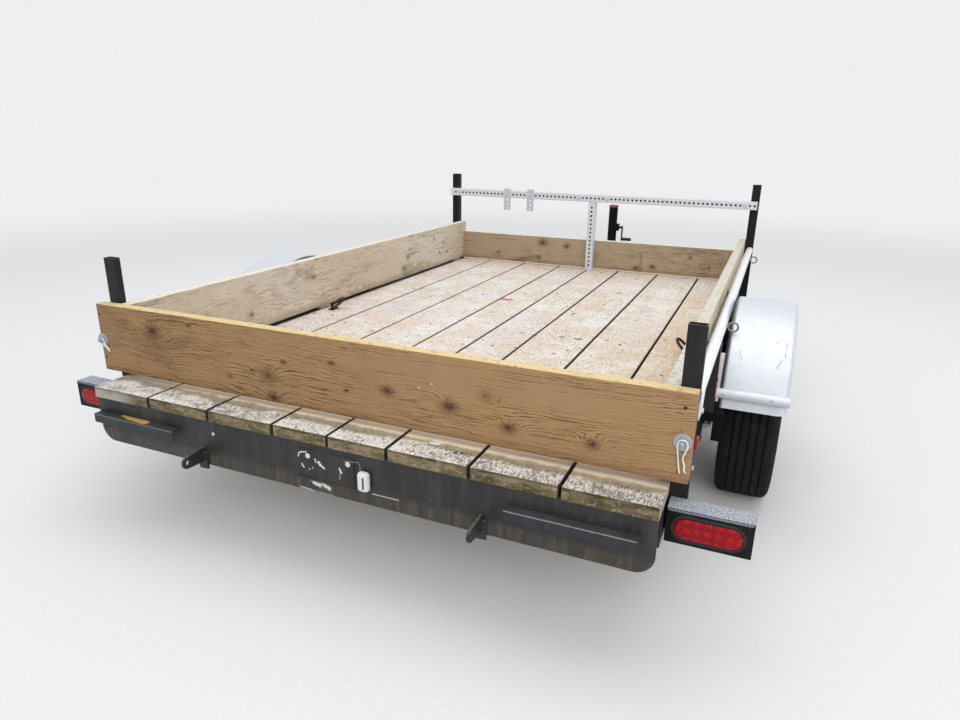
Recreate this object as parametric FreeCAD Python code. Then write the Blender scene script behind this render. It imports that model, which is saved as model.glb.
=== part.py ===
"""Single-axle utility trailer: steel frame, plank deck, board sides, A-frame tongue with a jack.

Frame: origin on the ground under the middle of the overall length and width,
+X to the trailer's right, +Y forward to the coupler, +Z up. Lengths in millimetres.
"""
import FreeCAD, Part

import math
import os

Vec = FreeCAD.Vector
X_AXIS = Vec(1, 0, 0)
Y_AXIS = Vec(0, 1, 0)
Z_AXIS = Vec(0, 0, 1)
SIDES = (-1, 1)

# Driving dimensions of the deck and the tongue
DECK_WIDTH = 1828.8
DECK_LENGTH = 2876.0
DECK_TOP = 514.0
TONGUE_REACH = 1002.0
LUG_OVERHANG = 80.0
PLANK_T = 38.0
WIDE_PLANK = 235.0
OUTER_PLANKS = 3
PLANK_GAP = 7.25
SEAT = 0.1

# Places along the length
OVERALL = LUG_OVERHANG + DECK_LENGTH + TONGUE_REACH
DECK_REAR = LUG_OVERHANG - OVERALL / 2
DECK_FRONT = DECK_REAR + DECK_LENGTH
NOSE_Y = OVERALL / 2
HALF_DECK = DECK_WIDTH / 2
FRAME_TOP = DECK_TOP - PLANK_T

# Steel frame
STEEL_T = 5.0
RAIL_H = 102.0
RAIL_FLANGE = 43.0
BEAM_OVERHANG = 8.0
REAR_BEAM_H = 152.0
REAR_BEAM_FLANGE = 48.0
REAR_BEAM_CORNER = 52.0
CROSS_H = 76.0
CROSS_FLANGE = 38.0
CROSS_COUNT = 4
RAIL_BOTTOM = FRAME_TOP - RAIL_H
BEAM_REAR = DECK_REAR + BEAM_OVERHANG
BEAM_FRONT = BEAM_REAR + REAR_BEAM_FLANGE
FRONT_BEAM_REAR = DECK_FRONT - RAIL_FLANGE

# Tongue and coupler
TONGUE_ANGLE = 25.0
TONGUE_H = 76.0
TONGUE_FLANGE = 41.0
TONGUE_LEG_INSET = 14.0
GUSSET_REACH = 95.0
GUSSET_RUN = 120.0
JACK_PLATE_FRONT = 62.0
JACK_PLATE_REAR = 82.0
JACK_PLATE_OVERLAP = 30.0
COUPLER_LENGTH = 250.0
COUPLER_LAP = 175.0
COUPLER_T = 5.0
COUPLER_NOSE_R = 40.0
COUPLER_SKIRT = 24.0
COUPLER_SEAT_GAP = 0.2
DOME_SPRING = 0.35
DOME_CROWN = 0.45
RIDGE_HALF_W = 24.0
RIDGE_SHOULDER_W = 15.0
RIDGE_H = 25.0
RIDGE_SHOULDER_H = 13.0
RIDGE_SETBACK = 60.0
BALL_R = 25.4
BALL_CLEARANCE = 0.6
BALL_DROP = 2.0
LATCH_LENGTH = 118.0
LATCH_W = 22.0
LATCH_T = 8.0
LATCH_RISE = 34.0

# Jack
JACK_SETBACK = 457.0
JACK_TUBE_R = 30.0
JACK_WALL = 3.0
JACK_TOP = 848.0
JACK_TUBE_BOTTOM = 322.0
JACK_LEG_R = 26.0
JACK_LEG_WALL = 3.5
JACK_LEG_TOP = 585.0
JACK_FOOT_R = 62.0
JACK_FOOT_T = 6.0
JACK_CAP_H = 15.0
JACK_CAP_LIP = 1.6
JACK_FLANGE_R = 66.0
JACK_FLANGE_T = 8.0
GEAR_BOX_W = 40.0
GEAR_BOX_H = 46.0
GEAR_BOX_REACH = 16.0
CRANK_Z = 712.0
CRANK_R = 8.0
CRANK_REACH = 92.0
CRANK_OFFSET = 20.0
CRANK_ARM_T = 8.0
CRANK_ARM_W = 18.0
GRIP_R = 11.0
GRIP_LENGTH = 62.0

# Axle, wheels and springs
AXLE_FORWARD = 1221.0
TYRE_R = 305.0
TYRE_W = 194.0
WHEEL_OUTSET = 163.1
AXLE_TUBE = 51.0
AXLE_SHORTFALL = 80.0
SPINDLE_R = 17.5
SPINDLE_FIT = 0.05
SPINDLE_COLLAR = 6.0
SPINDLE_COLLAR_W = 9.0
SPINDLE_REACH = 14.0
SPRING_INSET = 25.4
SPRING_W = 45.0
SPRING_HALF_SPAN = 325.0
SPRING_EYE_Z = 318.0
LEAF_T = 6.5
LEAF_COUNT = 3
LEAF_STEP = 0.28
EYE_R = 17.0
SPRING_BOLT_R = 7.0
SPRING_BOLT_FIT = 0.3
BOLT_SIDES = 8
SHACKLE_RISE = 36.0
SHACKLE_GAP = 2.0
SHACKLE_HALF_W = 13.0
SHACKLE_END = 14.0
HANGER_T = 5.0
HANGER_HALF_W = 28.0
HANGER_DROP = 14.0
HANGER_FIT = 1.0
BOLT_OVERHANG = 9.0
CLAMP_BAR = 12.0
CLAMP_PLATE_T = 10.0
CLAMP_PLATE_MARGIN = 14.0
CLAMP_TAIL = 14.0
CLAMP_FIT = 1.0
TYRE_TREAD_HALF = 75.0
TYRE_SHOULDER = 30.0
TYRE_BEAD_FIT = 0.4
RIM_R = 165.0
RIM_HALF_W = 63.5
RIM_T = 3.2
RIM_FLANGE_H = 15.0
RIM_FLANGE_W = 4.0
DISC_T = 5.0
DISC_FLAT_R = 88.0
DISC_DISH = 20.0
DISC_BORE_FIT = 0.6
HUB_R = 38.0
HUB_DEPTH = 70.0
HUB_FLANGE_R = 70.0
HUB_FLANGE_T = 12.0
HUB_LOBES = 10
HUB_CAP_R = 32.0
HUB_CAP_H = 46.0
LUG_PCD = 114.3
LUG_R = 6.35
LUG_FIT = 1.0
LUG_REACH = 30.0
NUT_R = 11.0
NUT_H = 16.0
LUG_COUNT = 5

# Fenders
FENDER_R = 448.0
FENDER_W = 212.0
FENDER_OUTSET = 53.6
FENDER_T = 2.5
FENDER_LIP = 34.0
FENDER_EDGE = 14.5
FENDER_LOW_ANGLE = 22.0
FENDER_PIPE_R = 16.5
FENDER_SEAT_GAP = 0.3
FENDER_PIPE_OVERHANG = 4.0
STAY_W = 34.0
STAY_DEPTH = 30.0
STAY_BOTTOM = 356.0
STAY_GAP = 3.0
STAY_ARM_DROP = 20.0

# Boards, posts and rails of the load space
BOARD_T = 38.0
SIDE_BOARD_H = 235.0
SIDE_BOARD_GAP = 12.0
FRONT_BOARD_H = 184.0
FRONT_BOARD_SETBACK = 32.0
GATE_LEDGE = 106.0
GATE_OVERHANG_LEFT = 25.15
GATE_OVERHANG_RIGHT = 0.15
GATE_H = 233.0
GATE_GAP = 15.5
POST_W = 44.45
REAR_POST_DEPTH = 25.4
REAR_POST_RISE = 398.0
FRONT_POST_RISE = 555.0
TUBE_WALL = 3.0
STAKE_INSET = 37.0
PIPE_R = 17.45
PIPE_WALL = 2.4
PIPE_RISE = 191.0
PIPE_NECK = 140.0
PIPE_FLAT_T = 5.0
PIPE_FLAT_LEAD = 20.0
PIPE_FLAT_TAIL = 8.0
PIPE_FLAT_SIDES = 12
CLEAT_HALF = 40.0
CLEAT_SETBACK = 120.0

# Perforated crossbar
BAR_SIZE = 44.45
BAR_WALL = 2.7
BAR_END_INSET = 6.35
BAR_RISE = 443.0
HOLE_PITCH = 25.4
HOLE_R = 5.55
HOLE_SIDES = 6
STRUT_X = 10.0
STRUT_FIRST_HOLE = 33.0
STRIP_PLACES = (-547.0, -391.0)
STRIP_W = 46.0
STRIP_H = 134.0
STRIP_T = 4.0
STRIP_DROP = 31.0
STRIP_HOLES = 5

# Tailgate pins
GATE_PIN_R = 6.0
GATE_PIN_FIT = 0.5
GATE_PIN_RISE = 124.0
GATE_PIN_OVERHANG = 20.0
GATE_PIN_TAIL = 6.0
GATE_EAR_HALF = 14.0
GATE_EAR_HALF_H = 18.0
WASHER_R = 22.0
WASHER_T = 2.5
WASHER_SIDES = 24

# Lamps at the rear corners
LAMP_BOX_W = 200.0
LAMP_BOX_H = 93.0
LAMP_BOX_DEPTH = 58.0
LAMP_BOX_WALL = 3.0
LAMP_BOX_GAP = 5.0
LAMP_TOP = 473.5
LAMP_TAB_W = 16.0
LENS_LENGTH = 157.0
LENS_H = 53.0
LENS_FIT = 0.2
LENS_INSET = 99.0
LENS_DROP = 2.0
LENS_PROUD = 7.0
LENS_DEPTH = 27.0
GROMMET_RIM = 9.0
GROMMET_T = 4.0

# Rear beam fittings
STEP_SIZE = 30.0
STEP_T = 4.0
STEP_DROP = 86.0
STEP_TABLE = (("left", -1, 9.4, 343.0), ("right", 1, 36.4, 338.0))
LUG_INSET = 444.4
LUG_T = 9.0
LUG_HOLE_R = 8.0
LUG_TIP_R = 19.0
LUG_TIP_RISE = 35.0
LUG_ROOT_LOW = 12.0
LUG_ROOT_TOP = 60.0
LUG_BASE_HALF = 17.0
LUG_BASE_T = 8.0
LUG_BASE_LOW = -12.0
LUG_BASE_TOP = 44.0
BRACKET_LEFT = -125.0
BRACKET_RIGHT = 85.0
BRACKET_BOTTOM = 362.0
BRACKET_TOP = 456.0
BRACKET_T = 2.0
BRACKET_FOLD = 8.0
PLATE_LAMP_LEFT = 104.0
PLATE_LAMP_RIGHT = 140.0
PLATE_LAMP_BOTTOM = 372.0
PLATE_LAMP_TOP = 432.0
PLATE_LAMP_DEPTH = 24.0
PLATE_LAMP_ROUND = 8.0

# Deck rings and side markers
DECK_RING_INSET = 90.4
DECK_RING_BEHIND = 8.0
DECK_RING_R = 35.0
DECK_RING_WIRE = 4.5
DECK_RING_LEAN = 45.0
RING_PLATE_LENGTH = 52.0
RING_PLATE_W = 30.0
RING_PLATE_T = 4.0
SADDLE_LENGTH = 26.0
SADDLE_W = 17.0
SADDLE_H = 8.5
MARKER_T = 9.0
MARKER_W = 22.0
MARKER_H = 30.0
MARKER_RISE = 91.0
MARKER_LEFT_DROP = 19.0

# Places that follow from the sizes
GATE_REAR = DECK_REAR + GATE_LEDGE
GATE_FRONT = GATE_REAR + BOARD_T
REAR_POST_Y = GATE_FRONT + REAR_POST_DEPTH / 2
REAR_POST_FRONT = GATE_FRONT + REAR_POST_DEPTH
FRONT_BOARD_FRONT = DECK_FRONT - FRONT_BOARD_SETBACK
FRONT_BOARD_REAR = FRONT_BOARD_FRONT - BOARD_T
POST_X = HALF_DECK + POST_W / 2
POST_OUTER = HALF_DECK + POST_W
FRONT_POST_Y = FRONT_BOARD_REAR + POST_W / 2
BAR_Z = DECK_TOP + BAR_RISE
BAR_LENGTH = 2 * (POST_OUTER - BAR_END_INSET)
AXLE_Y = DECK_REAR + AXLE_FORWARD
WHEEL_X = HALF_DECK + WHEEL_OUTSET
FENDER_INNER_X = HALF_DECK + FENDER_OUTSET
PIPE_Z = DECK_TOP + PIPE_RISE
PIPE_X = POST_OUTER - PIPE_R
SPRING_X = HALF_DECK - SPRING_INSET
LUG_X = HALF_DECK - LUG_INSET
DECK_RING_X = HALF_DECK - DECK_RING_INSET
DECK_RING_Y = AXLE_Y - DECK_RING_BEHIND
GATE_LEFT = POST_OUTER + GATE_OVERHANG_LEFT
GATE_RIGHT = POST_OUTER + GATE_OVERHANG_RIGHT
JACK_Y = NOSE_Y - JACK_SETBACK
SIDE_BOARD_BOTTOM = DECK_TOP + SIDE_BOARD_GAP
GATE_BOTTOM = DECK_TOP + GATE_GAP
GATE_PIN_Z = DECK_TOP + GATE_PIN_RISE
STAKE_SPREAD = FENDER_R - STAKE_INSET
FENDER_PIPE_Z = TYRE_R + math.sqrt((FENDER_R + FENDER_SEAT_GAP + FENDER_PIPE_R) ** 2 - STAKE_SPREAD ** 2)
GATE_PIN_LEFT = -(POST_OUTER + GATE_EAR_HALF)
GATE_PIN_RIGHT = POST_X
LAMP_BOTTOM = LAMP_TOP - LAMP_BOX_H
LAMP_BOX_X = HALF_DECK + LAMP_BOX_GAP
LAMP_REAR = GATE_FRONT - LAMP_BOX_DEPTH - SEAT
LENS_X = LAMP_BOX_X + LENS_INSET
LENS_Z = LAMP_BOTTOM + LAMP_BOX_H / 2 - LENS_DROP
STEP_TOP = DECK_TOP - STEP_DROP
MARKER_Z = DECK_TOP + MARKER_RISE
BALL_Y = NOSE_Y - COUPLER_NOSE_R
LEG_FRONT = BALL_Y - COUPLER_LENGTH + COUPLER_LAP
TONGUE_TOP = RAIL_BOTTOM + TONGUE_H
TONGUE_SLOPE = math.tan(math.radians(TONGUE_ANGLE))
COUPLER_Z = TONGUE_TOP + COUPLER_SEAT_GAP
SPRING_BOLT_REACH = SPRING_W / 2 + HANGER_FIT + HANGER_T + BOLT_OVERHANG


def block(x0, x1, y0, y1, z0, z1):
    """Box between two corners given as low and high values on each axis."""
    return Part.makeBox(x1 - x0, y1 - y0, z1 - z0, Vec(x0, y0, z0))


def rod(radius, start, axis, length):
    """Round bar from a start point along an axis."""
    return Part.makeCylinder(radius, length, start, axis)


def pipe(radius, wall, start, axis, length):
    """Round tube open at both ends."""
    return rod(radius, start, axis, length).cut(rod(radius - wall, start, axis, length))


def face_of(points):
    """Flat face inside a closed run of points."""
    return Part.Face(Part.makePolygon(list(points) + [points[0]]))


def prism(sides, radius, base, axis, length):
    """Prism with a regular outline, standing on base along an axis."""
    ring = [Vec(radius * math.cos(2 * math.pi * k / sides), radius * math.sin(2 * math.pi * k / sides), 0)
            for k in range(sides)]
    solid = face_of(ring).extrude(Vec(0, 0, length))
    solid.Placement = FreeCAD.Placement(base, FreeCAD.Rotation(Z_AXIS, axis))
    return solid


def revolved(points):
    """Solid revolved about Z from (radius, height) points."""
    return face_of([Vec(r, 0, z) for r, z in points]).revolve(Vec(0, 0, 0), Z_AXIS, 360.0)


def perforate(tube, start, step, count, axis, depth):
    """Row of small holes cut through a wall, at equal steps from the first."""
    holes = [prism(HOLE_SIDES, HOLE_R, start + step * index, axis, depth) for index in range(count)]
    return tube.cut(Part.makeCompound(holes))


def square_tube(x, y, width, depth, wall, z0, z1):
    """Upright rectangular tube, open at both ends, centred on x, y."""
    outer = block(x - width / 2, x + width / 2, y - depth / 2, y + depth / 2, z0, z1)
    inner = block(x - width / 2 + wall, x + width / 2 - wall,
                  y - depth / 2 + wall, y + depth / 2 - wall, z0, z1)
    return outer.cut(inner)


def channel_along_y(web_x, inward, flange, height, top, y0, y1):
    """Channel with its web at web_x and flanges towards inward (+1 or -1)."""
    tip = web_x + inward * flange
    skin = web_x + inward * STEEL_T
    low = top - height
    profile = face_of([Vec(web_x, y0, low), Vec(tip, y0, low), Vec(tip, y0, low + STEEL_T),
                       Vec(skin, y0, low + STEEL_T), Vec(skin, y0, top - STEEL_T),
                       Vec(tip, y0, top - STEEL_T), Vec(tip, y0, top), Vec(web_x, y0, top)])
    return profile.extrude(Vec(0, y1 - y0, 0))


def channel_along_x(web_y, forward, flange, height, top, x0, x1):
    """Channel with its web at web_y and flanges towards forward (+1 or -1)."""
    tip = web_y + forward * flange
    skin = web_y + forward * STEEL_T
    low = top - height
    profile = face_of([Vec(x0, web_y, low), Vec(x0, tip, low), Vec(x0, tip, low + STEEL_T),
                       Vec(x0, skin, low + STEEL_T), Vec(x0, skin, top - STEEL_T),
                       Vec(x0, tip, top - STEEL_T), Vec(x0, tip, top), Vec(x0, web_y, top)])
    return profile.extrude(Vec(x1 - x0, 0, 0))


def mirrored(shape):
    """The same shape on the trailer's other side."""
    return shape.mirror(Vec(0, 0, 0), X_AXIS)


def both_sides(shape):
    """A right-hand piece and its mirror image as two separate solids."""
    return Part.makeCompound([shape, mirrored(shape)])


def side_rails():
    """Two channels under the deck edges, webs outward."""
    rail = channel_along_y(HALF_DECK, -1, RAIL_FLANGE, RAIL_H, FRAME_TOP,
                           BEAM_FRONT + SEAT, FRONT_BEAM_REAR - SEAT)
    return both_sides(rail)


def rear_beam():
    """Deep channel across the rear with its two lower corners cut round."""
    beam = channel_along_x(BEAM_REAR, 1, REAR_BEAM_FLANGE, REAR_BEAM_H, FRAME_TOP,
                           -HALF_DECK, HALF_DECK)
    low = FRAME_TOP - REAR_BEAM_H
    corner = REAR_BEAM_CORNER
    for side in SIDES:
        edge = side * HALF_DECK
        inset = side * (HALF_DECK - corner)
        square = block(min(edge, inset), max(edge, inset), BEAM_REAR, BEAM_FRONT, low, low + corner)
        keep = rod(corner, Vec(inset, BEAM_REAR, low + corner), Y_AXIS, REAR_BEAM_FLANGE)
        beam = beam.cut(square.cut(keep))
    return beam


def front_beam():
    """Channel across the front, web forward."""
    return channel_along_x(DECK_FRONT, -1, RAIL_FLANGE, RAIL_H, FRAME_TOP, -HALF_DECK, HALF_DECK)


def cross_members():
    """Channels between the rails, evenly spaced, carrying the planks."""
    reach = HALF_DECK - STEEL_T - SEAT
    spacing = (FRONT_BEAM_REAR - BEAM_FRONT) / (CROSS_COUNT + 1)
    members = []
    for index in range(CROSS_COUNT):
        web_y = BEAM_FRONT + spacing * (index + 1)
        member = channel_along_x(web_y, 1, CROSS_FLANGE, CROSS_H, FRAME_TOP, -reach, reach)
        for side in SIDES:
            notch_in = side * (HALF_DECK - RAIL_FLANGE - SEAT)
            notch_out = side * HALF_DECK
            member = member.cut(block(min(notch_in, notch_out), max(notch_in, notch_out),
                                      web_y, web_y + CROSS_FLANGE,
                                      FRAME_TOP - STEEL_T - SEAT, FRAME_TOP))
        members.append(member)
    return Part.makeCompound(members)


def leg_inner_x(y):
    """Distance of the right leg's inner edge from the middle at a place along the tongue."""
    return TONGUE_LEG_INSET + (LEG_FRONT - y) * TONGUE_SLOPE


def tongue_leg():
    """Right-hand tongue channel, running from the front beam to the coupler."""
    across = TONGUE_FLANGE / math.cos(math.radians(TONGUE_ANGLE))
    wall = STEEL_T / math.cos(math.radians(TONGUE_ANGLE))
    rear_y = DECK_FRONT + SEAT

    def slanted(offset0, offset1, z0, z1):
        """Slanted slab between two offsets from the leg's inner edge."""
        return face_of([Vec(leg_inner_x(LEG_FRONT) + offset0, LEG_FRONT, z0),
                        Vec(leg_inner_x(LEG_FRONT) + offset1, LEG_FRONT, z0),
                        Vec(leg_inner_x(rear_y) + offset1, rear_y, z0),
                        Vec(leg_inner_x(rear_y) + offset0, rear_y, z0)]).extrude(Vec(0, 0, z1 - z0))

    web = slanted(across - wall, across, RAIL_BOTTOM, TONGUE_TOP)
    bottom = slanted(0, across, RAIL_BOTTOM, RAIL_BOTTOM + STEEL_T)
    upper = slanted(0, across, TONGUE_TOP - STEEL_T, TONGUE_TOP)
    return web.fuse([bottom, upper]).removeSplitter()


def tongue_legs():
    """Both tongue channels."""
    return both_sides(tongue_leg())


def tongue_plates():
    """Jack plate across the legs and a gusset where each leg meets the front beam."""
    y_front = JACK_Y + JACK_PLATE_FRONT
    y_rear = JACK_Y - JACK_PLATE_REAR
    x_front = leg_inner_x(y_front) + JACK_PLATE_OVERLAP
    x_rear = leg_inner_x(y_rear) + JACK_PLATE_OVERLAP
    z = TONGUE_TOP + SEAT
    plate = face_of([Vec(-x_front, y_front, z), Vec(x_front, y_front, z),
                     Vec(x_rear, y_rear, z), Vec(-x_rear, y_rear, z)]).extrude(Vec(0, 0, STEEL_T))
    plate = plate.cut(rod(JACK_TUBE_R + SEAT, Vec(0, JACK_Y, z), Z_AXIS, STEEL_T))
    y_beam = DECK_FRONT + SEAT
    y_tip = DECK_FRONT + GUSSET_RUN
    x_leg = leg_inner_x(y_beam)
    x_tip = leg_inner_x(y_tip)
    low = RAIL_BOTTOM - STEEL_T - SEAT
    gusset = face_of([Vec(x_leg - GUSSET_REACH, y_beam, low), Vec(x_leg + GUSSET_REACH, y_beam, low),
                      Vec(x_tip + TONGUE_FLANGE, y_tip, low), Vec(x_tip, y_tip, low)]
                     ).extrude(Vec(0, 0, STEEL_T))
    return Part.makeCompound([plate, gusset, mirrored(gusset)])


def ridge(half_w, shoulder_w, height, shoulder_h, y0, y1):
    """Raised ridge with sloping shoulders, standing on the coupler's seat along the middle."""
    profile = face_of([Vec(-half_w, y0, COUPLER_Z), Vec(half_w, y0, COUPLER_Z),
                       Vec(half_w, y0, COUPLER_Z + shoulder_h), Vec(shoulder_w, y0, COUPLER_Z + height),
                       Vec(-shoulder_w, y0, COUPLER_Z + height), Vec(-half_w, y0, COUPLER_Z + shoulder_h)])
    return profile.extrude(Vec(0, y1 - y0, 0))


def coupler():
    """Pressed ball coupler: a flanged wedge on the legs' noses, a ridge and a domed ball socket."""
    rear_y = BALL_Y - COUPLER_LENGTH
    rear_half = leg_inner_x(rear_y) + TONGUE_FLANGE
    r = COUPLER_NOSE_R
    plate = face_of([Vec(-r, BALL_Y, COUPLER_Z), Vec(r, BALL_Y, COUPLER_Z),
                     Vec(rear_half, rear_y, COUPLER_Z), Vec(-rear_half, rear_y, COUPLER_Z)]
                    ).extrude(Vec(0, 0, COUPLER_T))
    dome = revolved([(0, -COUPLER_SKIRT), (r, -COUPLER_SKIRT), (r, r * DOME_SPRING), (r * DOME_CROWN, r),
                     (0, r)])
    dome.translate(Vec(0, BALL_Y, COUPLER_Z))
    skin = ridge(RIDGE_HALF_W, RIDGE_SHOULDER_W, RIDGE_H, RIDGE_SHOULDER_H, rear_y + RIDGE_SETBACK, BALL_Y)
    hollow = ridge(RIDGE_HALF_W - COUPLER_T, RIDGE_SHOULDER_W - COUPLER_T / 2, RIDGE_H - COUPLER_T,
                   RIDGE_SHOULDER_H - COUPLER_T / 2, rear_y, BALL_Y - r)
    socket_r = BALL_R + BALL_CLEARANCE
    socket = revolved([(0, -COUPLER_SKIRT - r), (socket_r, -COUPLER_SKIRT - r),
                       (socket_r, socket_r * DOME_SPRING - BALL_DROP),
                       (socket_r * DOME_CROWN, socket_r - BALL_DROP), (0, socket_r - BALL_DROP)])
    socket.translate(Vec(0, BALL_Y, COUPLER_Z))
    return plate.fuse([skin, dome]).cut(hollow).cut(socket).removeSplitter()


def coupler_latch():
    """Hand latch lying along the coupler's ridge."""
    top = COUPLER_Z + RIDGE_H + SEAT
    front = BALL_Y - COUPLER_NOSE_R
    rear = front - LATCH_LENGTH
    x = -LATCH_W / 2
    profile = face_of([Vec(x, rear, top), Vec(x, front, top), Vec(x, front, top + LATCH_T),
                       Vec(x, rear, top + 2 * LATCH_T), Vec(x, rear - LATCH_RISE, top + LATCH_RISE),
                       Vec(x, rear - LATCH_RISE, top + LATCH_RISE - LATCH_T)])
    return profile.extrude(Vec(LATCH_W, 0, 0))


def jack_tube():
    """Outer tube of the jack with its mounting flange and gear box."""
    flange_z = TONGUE_TOP + SEAT + STEEL_T + SEAT
    height = JACK_TOP - JACK_TUBE_BOTTOM
    foot = Vec(0, JACK_Y, JACK_TUBE_BOTTOM)
    flange = prism(6, JACK_FLANGE_R, Vec(0, JACK_Y, flange_z), Z_AXIS, JACK_FLANGE_T)
    gear_box = block(0, JACK_TUBE_R + GEAR_BOX_REACH, JACK_Y - GEAR_BOX_W / 2, JACK_Y + GEAR_BOX_W / 2,
                     CRANK_Z - GEAR_BOX_H / 2, CRANK_Z + GEAR_BOX_H / 2)
    body = rod(JACK_TUBE_R, foot, Z_AXIS, height).fuse([flange, gear_box])
    return body.cut(rod(JACK_TUBE_R - JACK_WALL, foot, Z_AXIS, height)).removeSplitter()


def jack_cap():
    """Flat cap over the tube's top."""
    return rod(JACK_TUBE_R + JACK_CAP_LIP, Vec(0, JACK_Y, JACK_TOP + SEAT), Z_AXIS, JACK_CAP_H)


def jack_crank():
    """Side crank on the gear box: spindle, arm and grip."""
    box_face = JACK_TUBE_R + GEAR_BOX_REACH + SEAT
    arm_x = box_face + CRANK_OFFSET
    spindle = rod(CRANK_R, Vec(box_face, JACK_Y, CRANK_Z), X_AXIS, CRANK_OFFSET)
    arm = block(arm_x, arm_x + CRANK_ARM_T, JACK_Y - CRANK_ARM_W / 2, JACK_Y + CRANK_ARM_W / 2,
                CRANK_Z - CRANK_REACH, CRANK_Z + CRANK_ARM_W / 2)
    grip = rod(GRIP_R, Vec(arm_x + CRANK_ARM_T, JACK_Y, CRANK_Z - CRANK_REACH + GRIP_R), X_AXIS, GRIP_LENGTH)
    return spindle.fuse([arm, grip]).removeSplitter()


def jack_leg():
    """Sliding inner leg with its round foot plate."""
    leg = pipe(JACK_LEG_R, JACK_LEG_WALL, Vec(0, JACK_Y, JACK_FOOT_T / 2), Z_AXIS,
               JACK_LEG_TOP - JACK_FOOT_T / 2)
    foot = rod(JACK_FOOT_R, Vec(0, JACK_Y, 0), Z_AXIS, JACK_FOOT_T)
    return leg.fuse(foot).removeSplitter()


def axle_beam():
    """Square axle tube with a turned spindle at each end."""
    half = WHEEL_X - AXLE_SHORTFALL
    low = TYRE_R - AXLE_TUBE / 2
    beam = block(-half, half, AXLE_Y - AXLE_TUBE / 2, AXLE_Y + AXLE_TUBE / 2, low, low + AXLE_TUBE)
    turned = []
    for side in SIDES:
        end = Vec(side * half, AXLE_Y, TYRE_R)
        axis = Vec(side, 0, 0)
        turned.append(rod(SPINDLE_R + SPINDLE_COLLAR, end, axis, SPINDLE_COLLAR_W))
        turned.append(rod(SPINDLE_R, end, axis, AXLE_SHORTFALL + SPINDLE_REACH))
    return beam.fuse(turned).removeSplitter()


def spring_seat_z():
    """Height of the main leaf's upper face at its middle, so that its arch clears the axle's edges."""
    flat_seat = TYRE_R - AXLE_TUBE / 2 - SEAT
    sag = SPRING_EYE_Z - flat_seat
    flat_radius = (SPRING_HALF_SPAN ** 2 + sag ** 2) / (2 * sag)
    return flat_seat - AXLE_TUBE ** 2 / (8 * flat_radius)


def spring_radius():
    """Radius of the main leaf's upper face through its seat and both eyes."""
    sag = SPRING_EYE_Z - spring_seat_z()
    return (SPRING_HALF_SPAN ** 2 + sag ** 2) / (2 * sag)


def leaf_springs():
    """Stepped leaf springs slung under the axle, an eye at each end of the main leaf."""
    radius = spring_radius()
    x = SPRING_X - SPRING_W / 2

    def at(distance, angle):
        """Point below the spring's centre of curvature at a distance and an angle from plumb."""
        z = spring_seat_z() + radius - distance * math.cos(angle)
        return Vec(x, AXLE_Y + distance * math.sin(angle), z)

    eyes = [Vec(x, AXLE_Y + end * SPRING_HALF_SPAN, SPRING_EYE_Z) for end in SIDES]
    pieces = [rod(EYE_R, eye, X_AXIS, SPRING_W) for eye in eyes]
    for index in range(LEAF_COUNT):
        half = math.asin(SPRING_HALF_SPAN * (1.0 - LEAF_STEP * index) / radius)
        upper = radius + index * LEAF_T
        lower = upper + LEAF_T
        edges = [Part.Arc(at(upper, -half), at(upper, 0), at(upper, half)).toShape(),
                 Part.LineSegment(at(upper, half), at(lower, half)).toShape(),
                 Part.Arc(at(lower, half), at(lower, 0), at(lower, -half)).toShape(),
                 Part.LineSegment(at(lower, -half), at(upper, -half)).toShape()]
        pieces.append(Part.Face(Part.Wire(edges)).extrude(Vec(SPRING_W, 0, 0)))
    spring = pieces[0].fuse(pieces[1:])
    for eye in eyes:
        spring = spring.cut(rod(SPRING_BOLT_R + SPRING_BOLT_FIT, eye, X_AXIS, SPRING_W))
    return both_sides(spring.removeSplitter())


def spring_bolt(y, z):
    """Many-sided bolt across the spring, its corners inside the eye's bore."""
    return prism(BOLT_SIDES, SPRING_BOLT_R, Vec(SPRING_X - SPRING_BOLT_REACH, y, z), X_AXIS,
                 2 * SPRING_BOLT_REACH)


def hanger(y, bolt_z):
    """Folded hanger, two cheeks joined by a top plate under the rail, with its bolt."""
    half = SPRING_W / 2 + HANGER_FIT
    outer = half + HANGER_T
    top = RAIL_BOTTOM - SEAT
    low = bolt_z - HANGER_DROP
    x = SPRING_X - outer
    wide = HANGER_HALF_W
    tip = HANGER_HALF_W / 2
    body = face_of([Vec(x, y - wide, top), Vec(x, y + wide, top), Vec(x, y + wide, bolt_z),
                    Vec(x, y + tip, low), Vec(x, y - tip, low), Vec(x, y - wide, bolt_z)]
                   ).extrude(Vec(2 * outer, 0, 0))
    body = body.cut(block(SPRING_X - half, SPRING_X + half, y - wide, y + wide, low, top - HANGER_T))
    return body.fuse(spring_bolt(y, bolt_z))


def shackle(y, low_z, high_z):
    """Straps hanging from the rear hanger's bolt, with the bolt through the spring's rear eye."""
    pieces = [spring_bolt(y, low_z)]
    for side in SIDES:
        x_in = SPRING_X + side * (SPRING_W / 2 + HANGER_FIT + HANGER_T + SHACKLE_GAP)
        x_out = x_in + side * HANGER_T
        pieces.append(block(min(x_in, x_out), max(x_in, x_out), y - SHACKLE_HALF_W, y + SHACKLE_HALF_W,
                            low_z - SHACKLE_END, high_z + SHACKLE_END))
    return pieces


def spring_hangers():
    """Front hanger at the spring's eye, and rear hanger with its shackle."""
    front = hanger(AXLE_Y + SPRING_HALF_SPAN, SPRING_EYE_Z).removeSplitter()
    rear_y = AXLE_Y - SPRING_HALF_SPAN
    upper_z = SPRING_EYE_Z + SHACKLE_RISE
    rear = hanger(rear_y, upper_z).fuse(shackle(rear_y, SPRING_EYE_Z, upper_z)).removeSplitter()
    return Part.makeCompound([front, rear, mirrored(front), mirrored(rear)])


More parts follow.
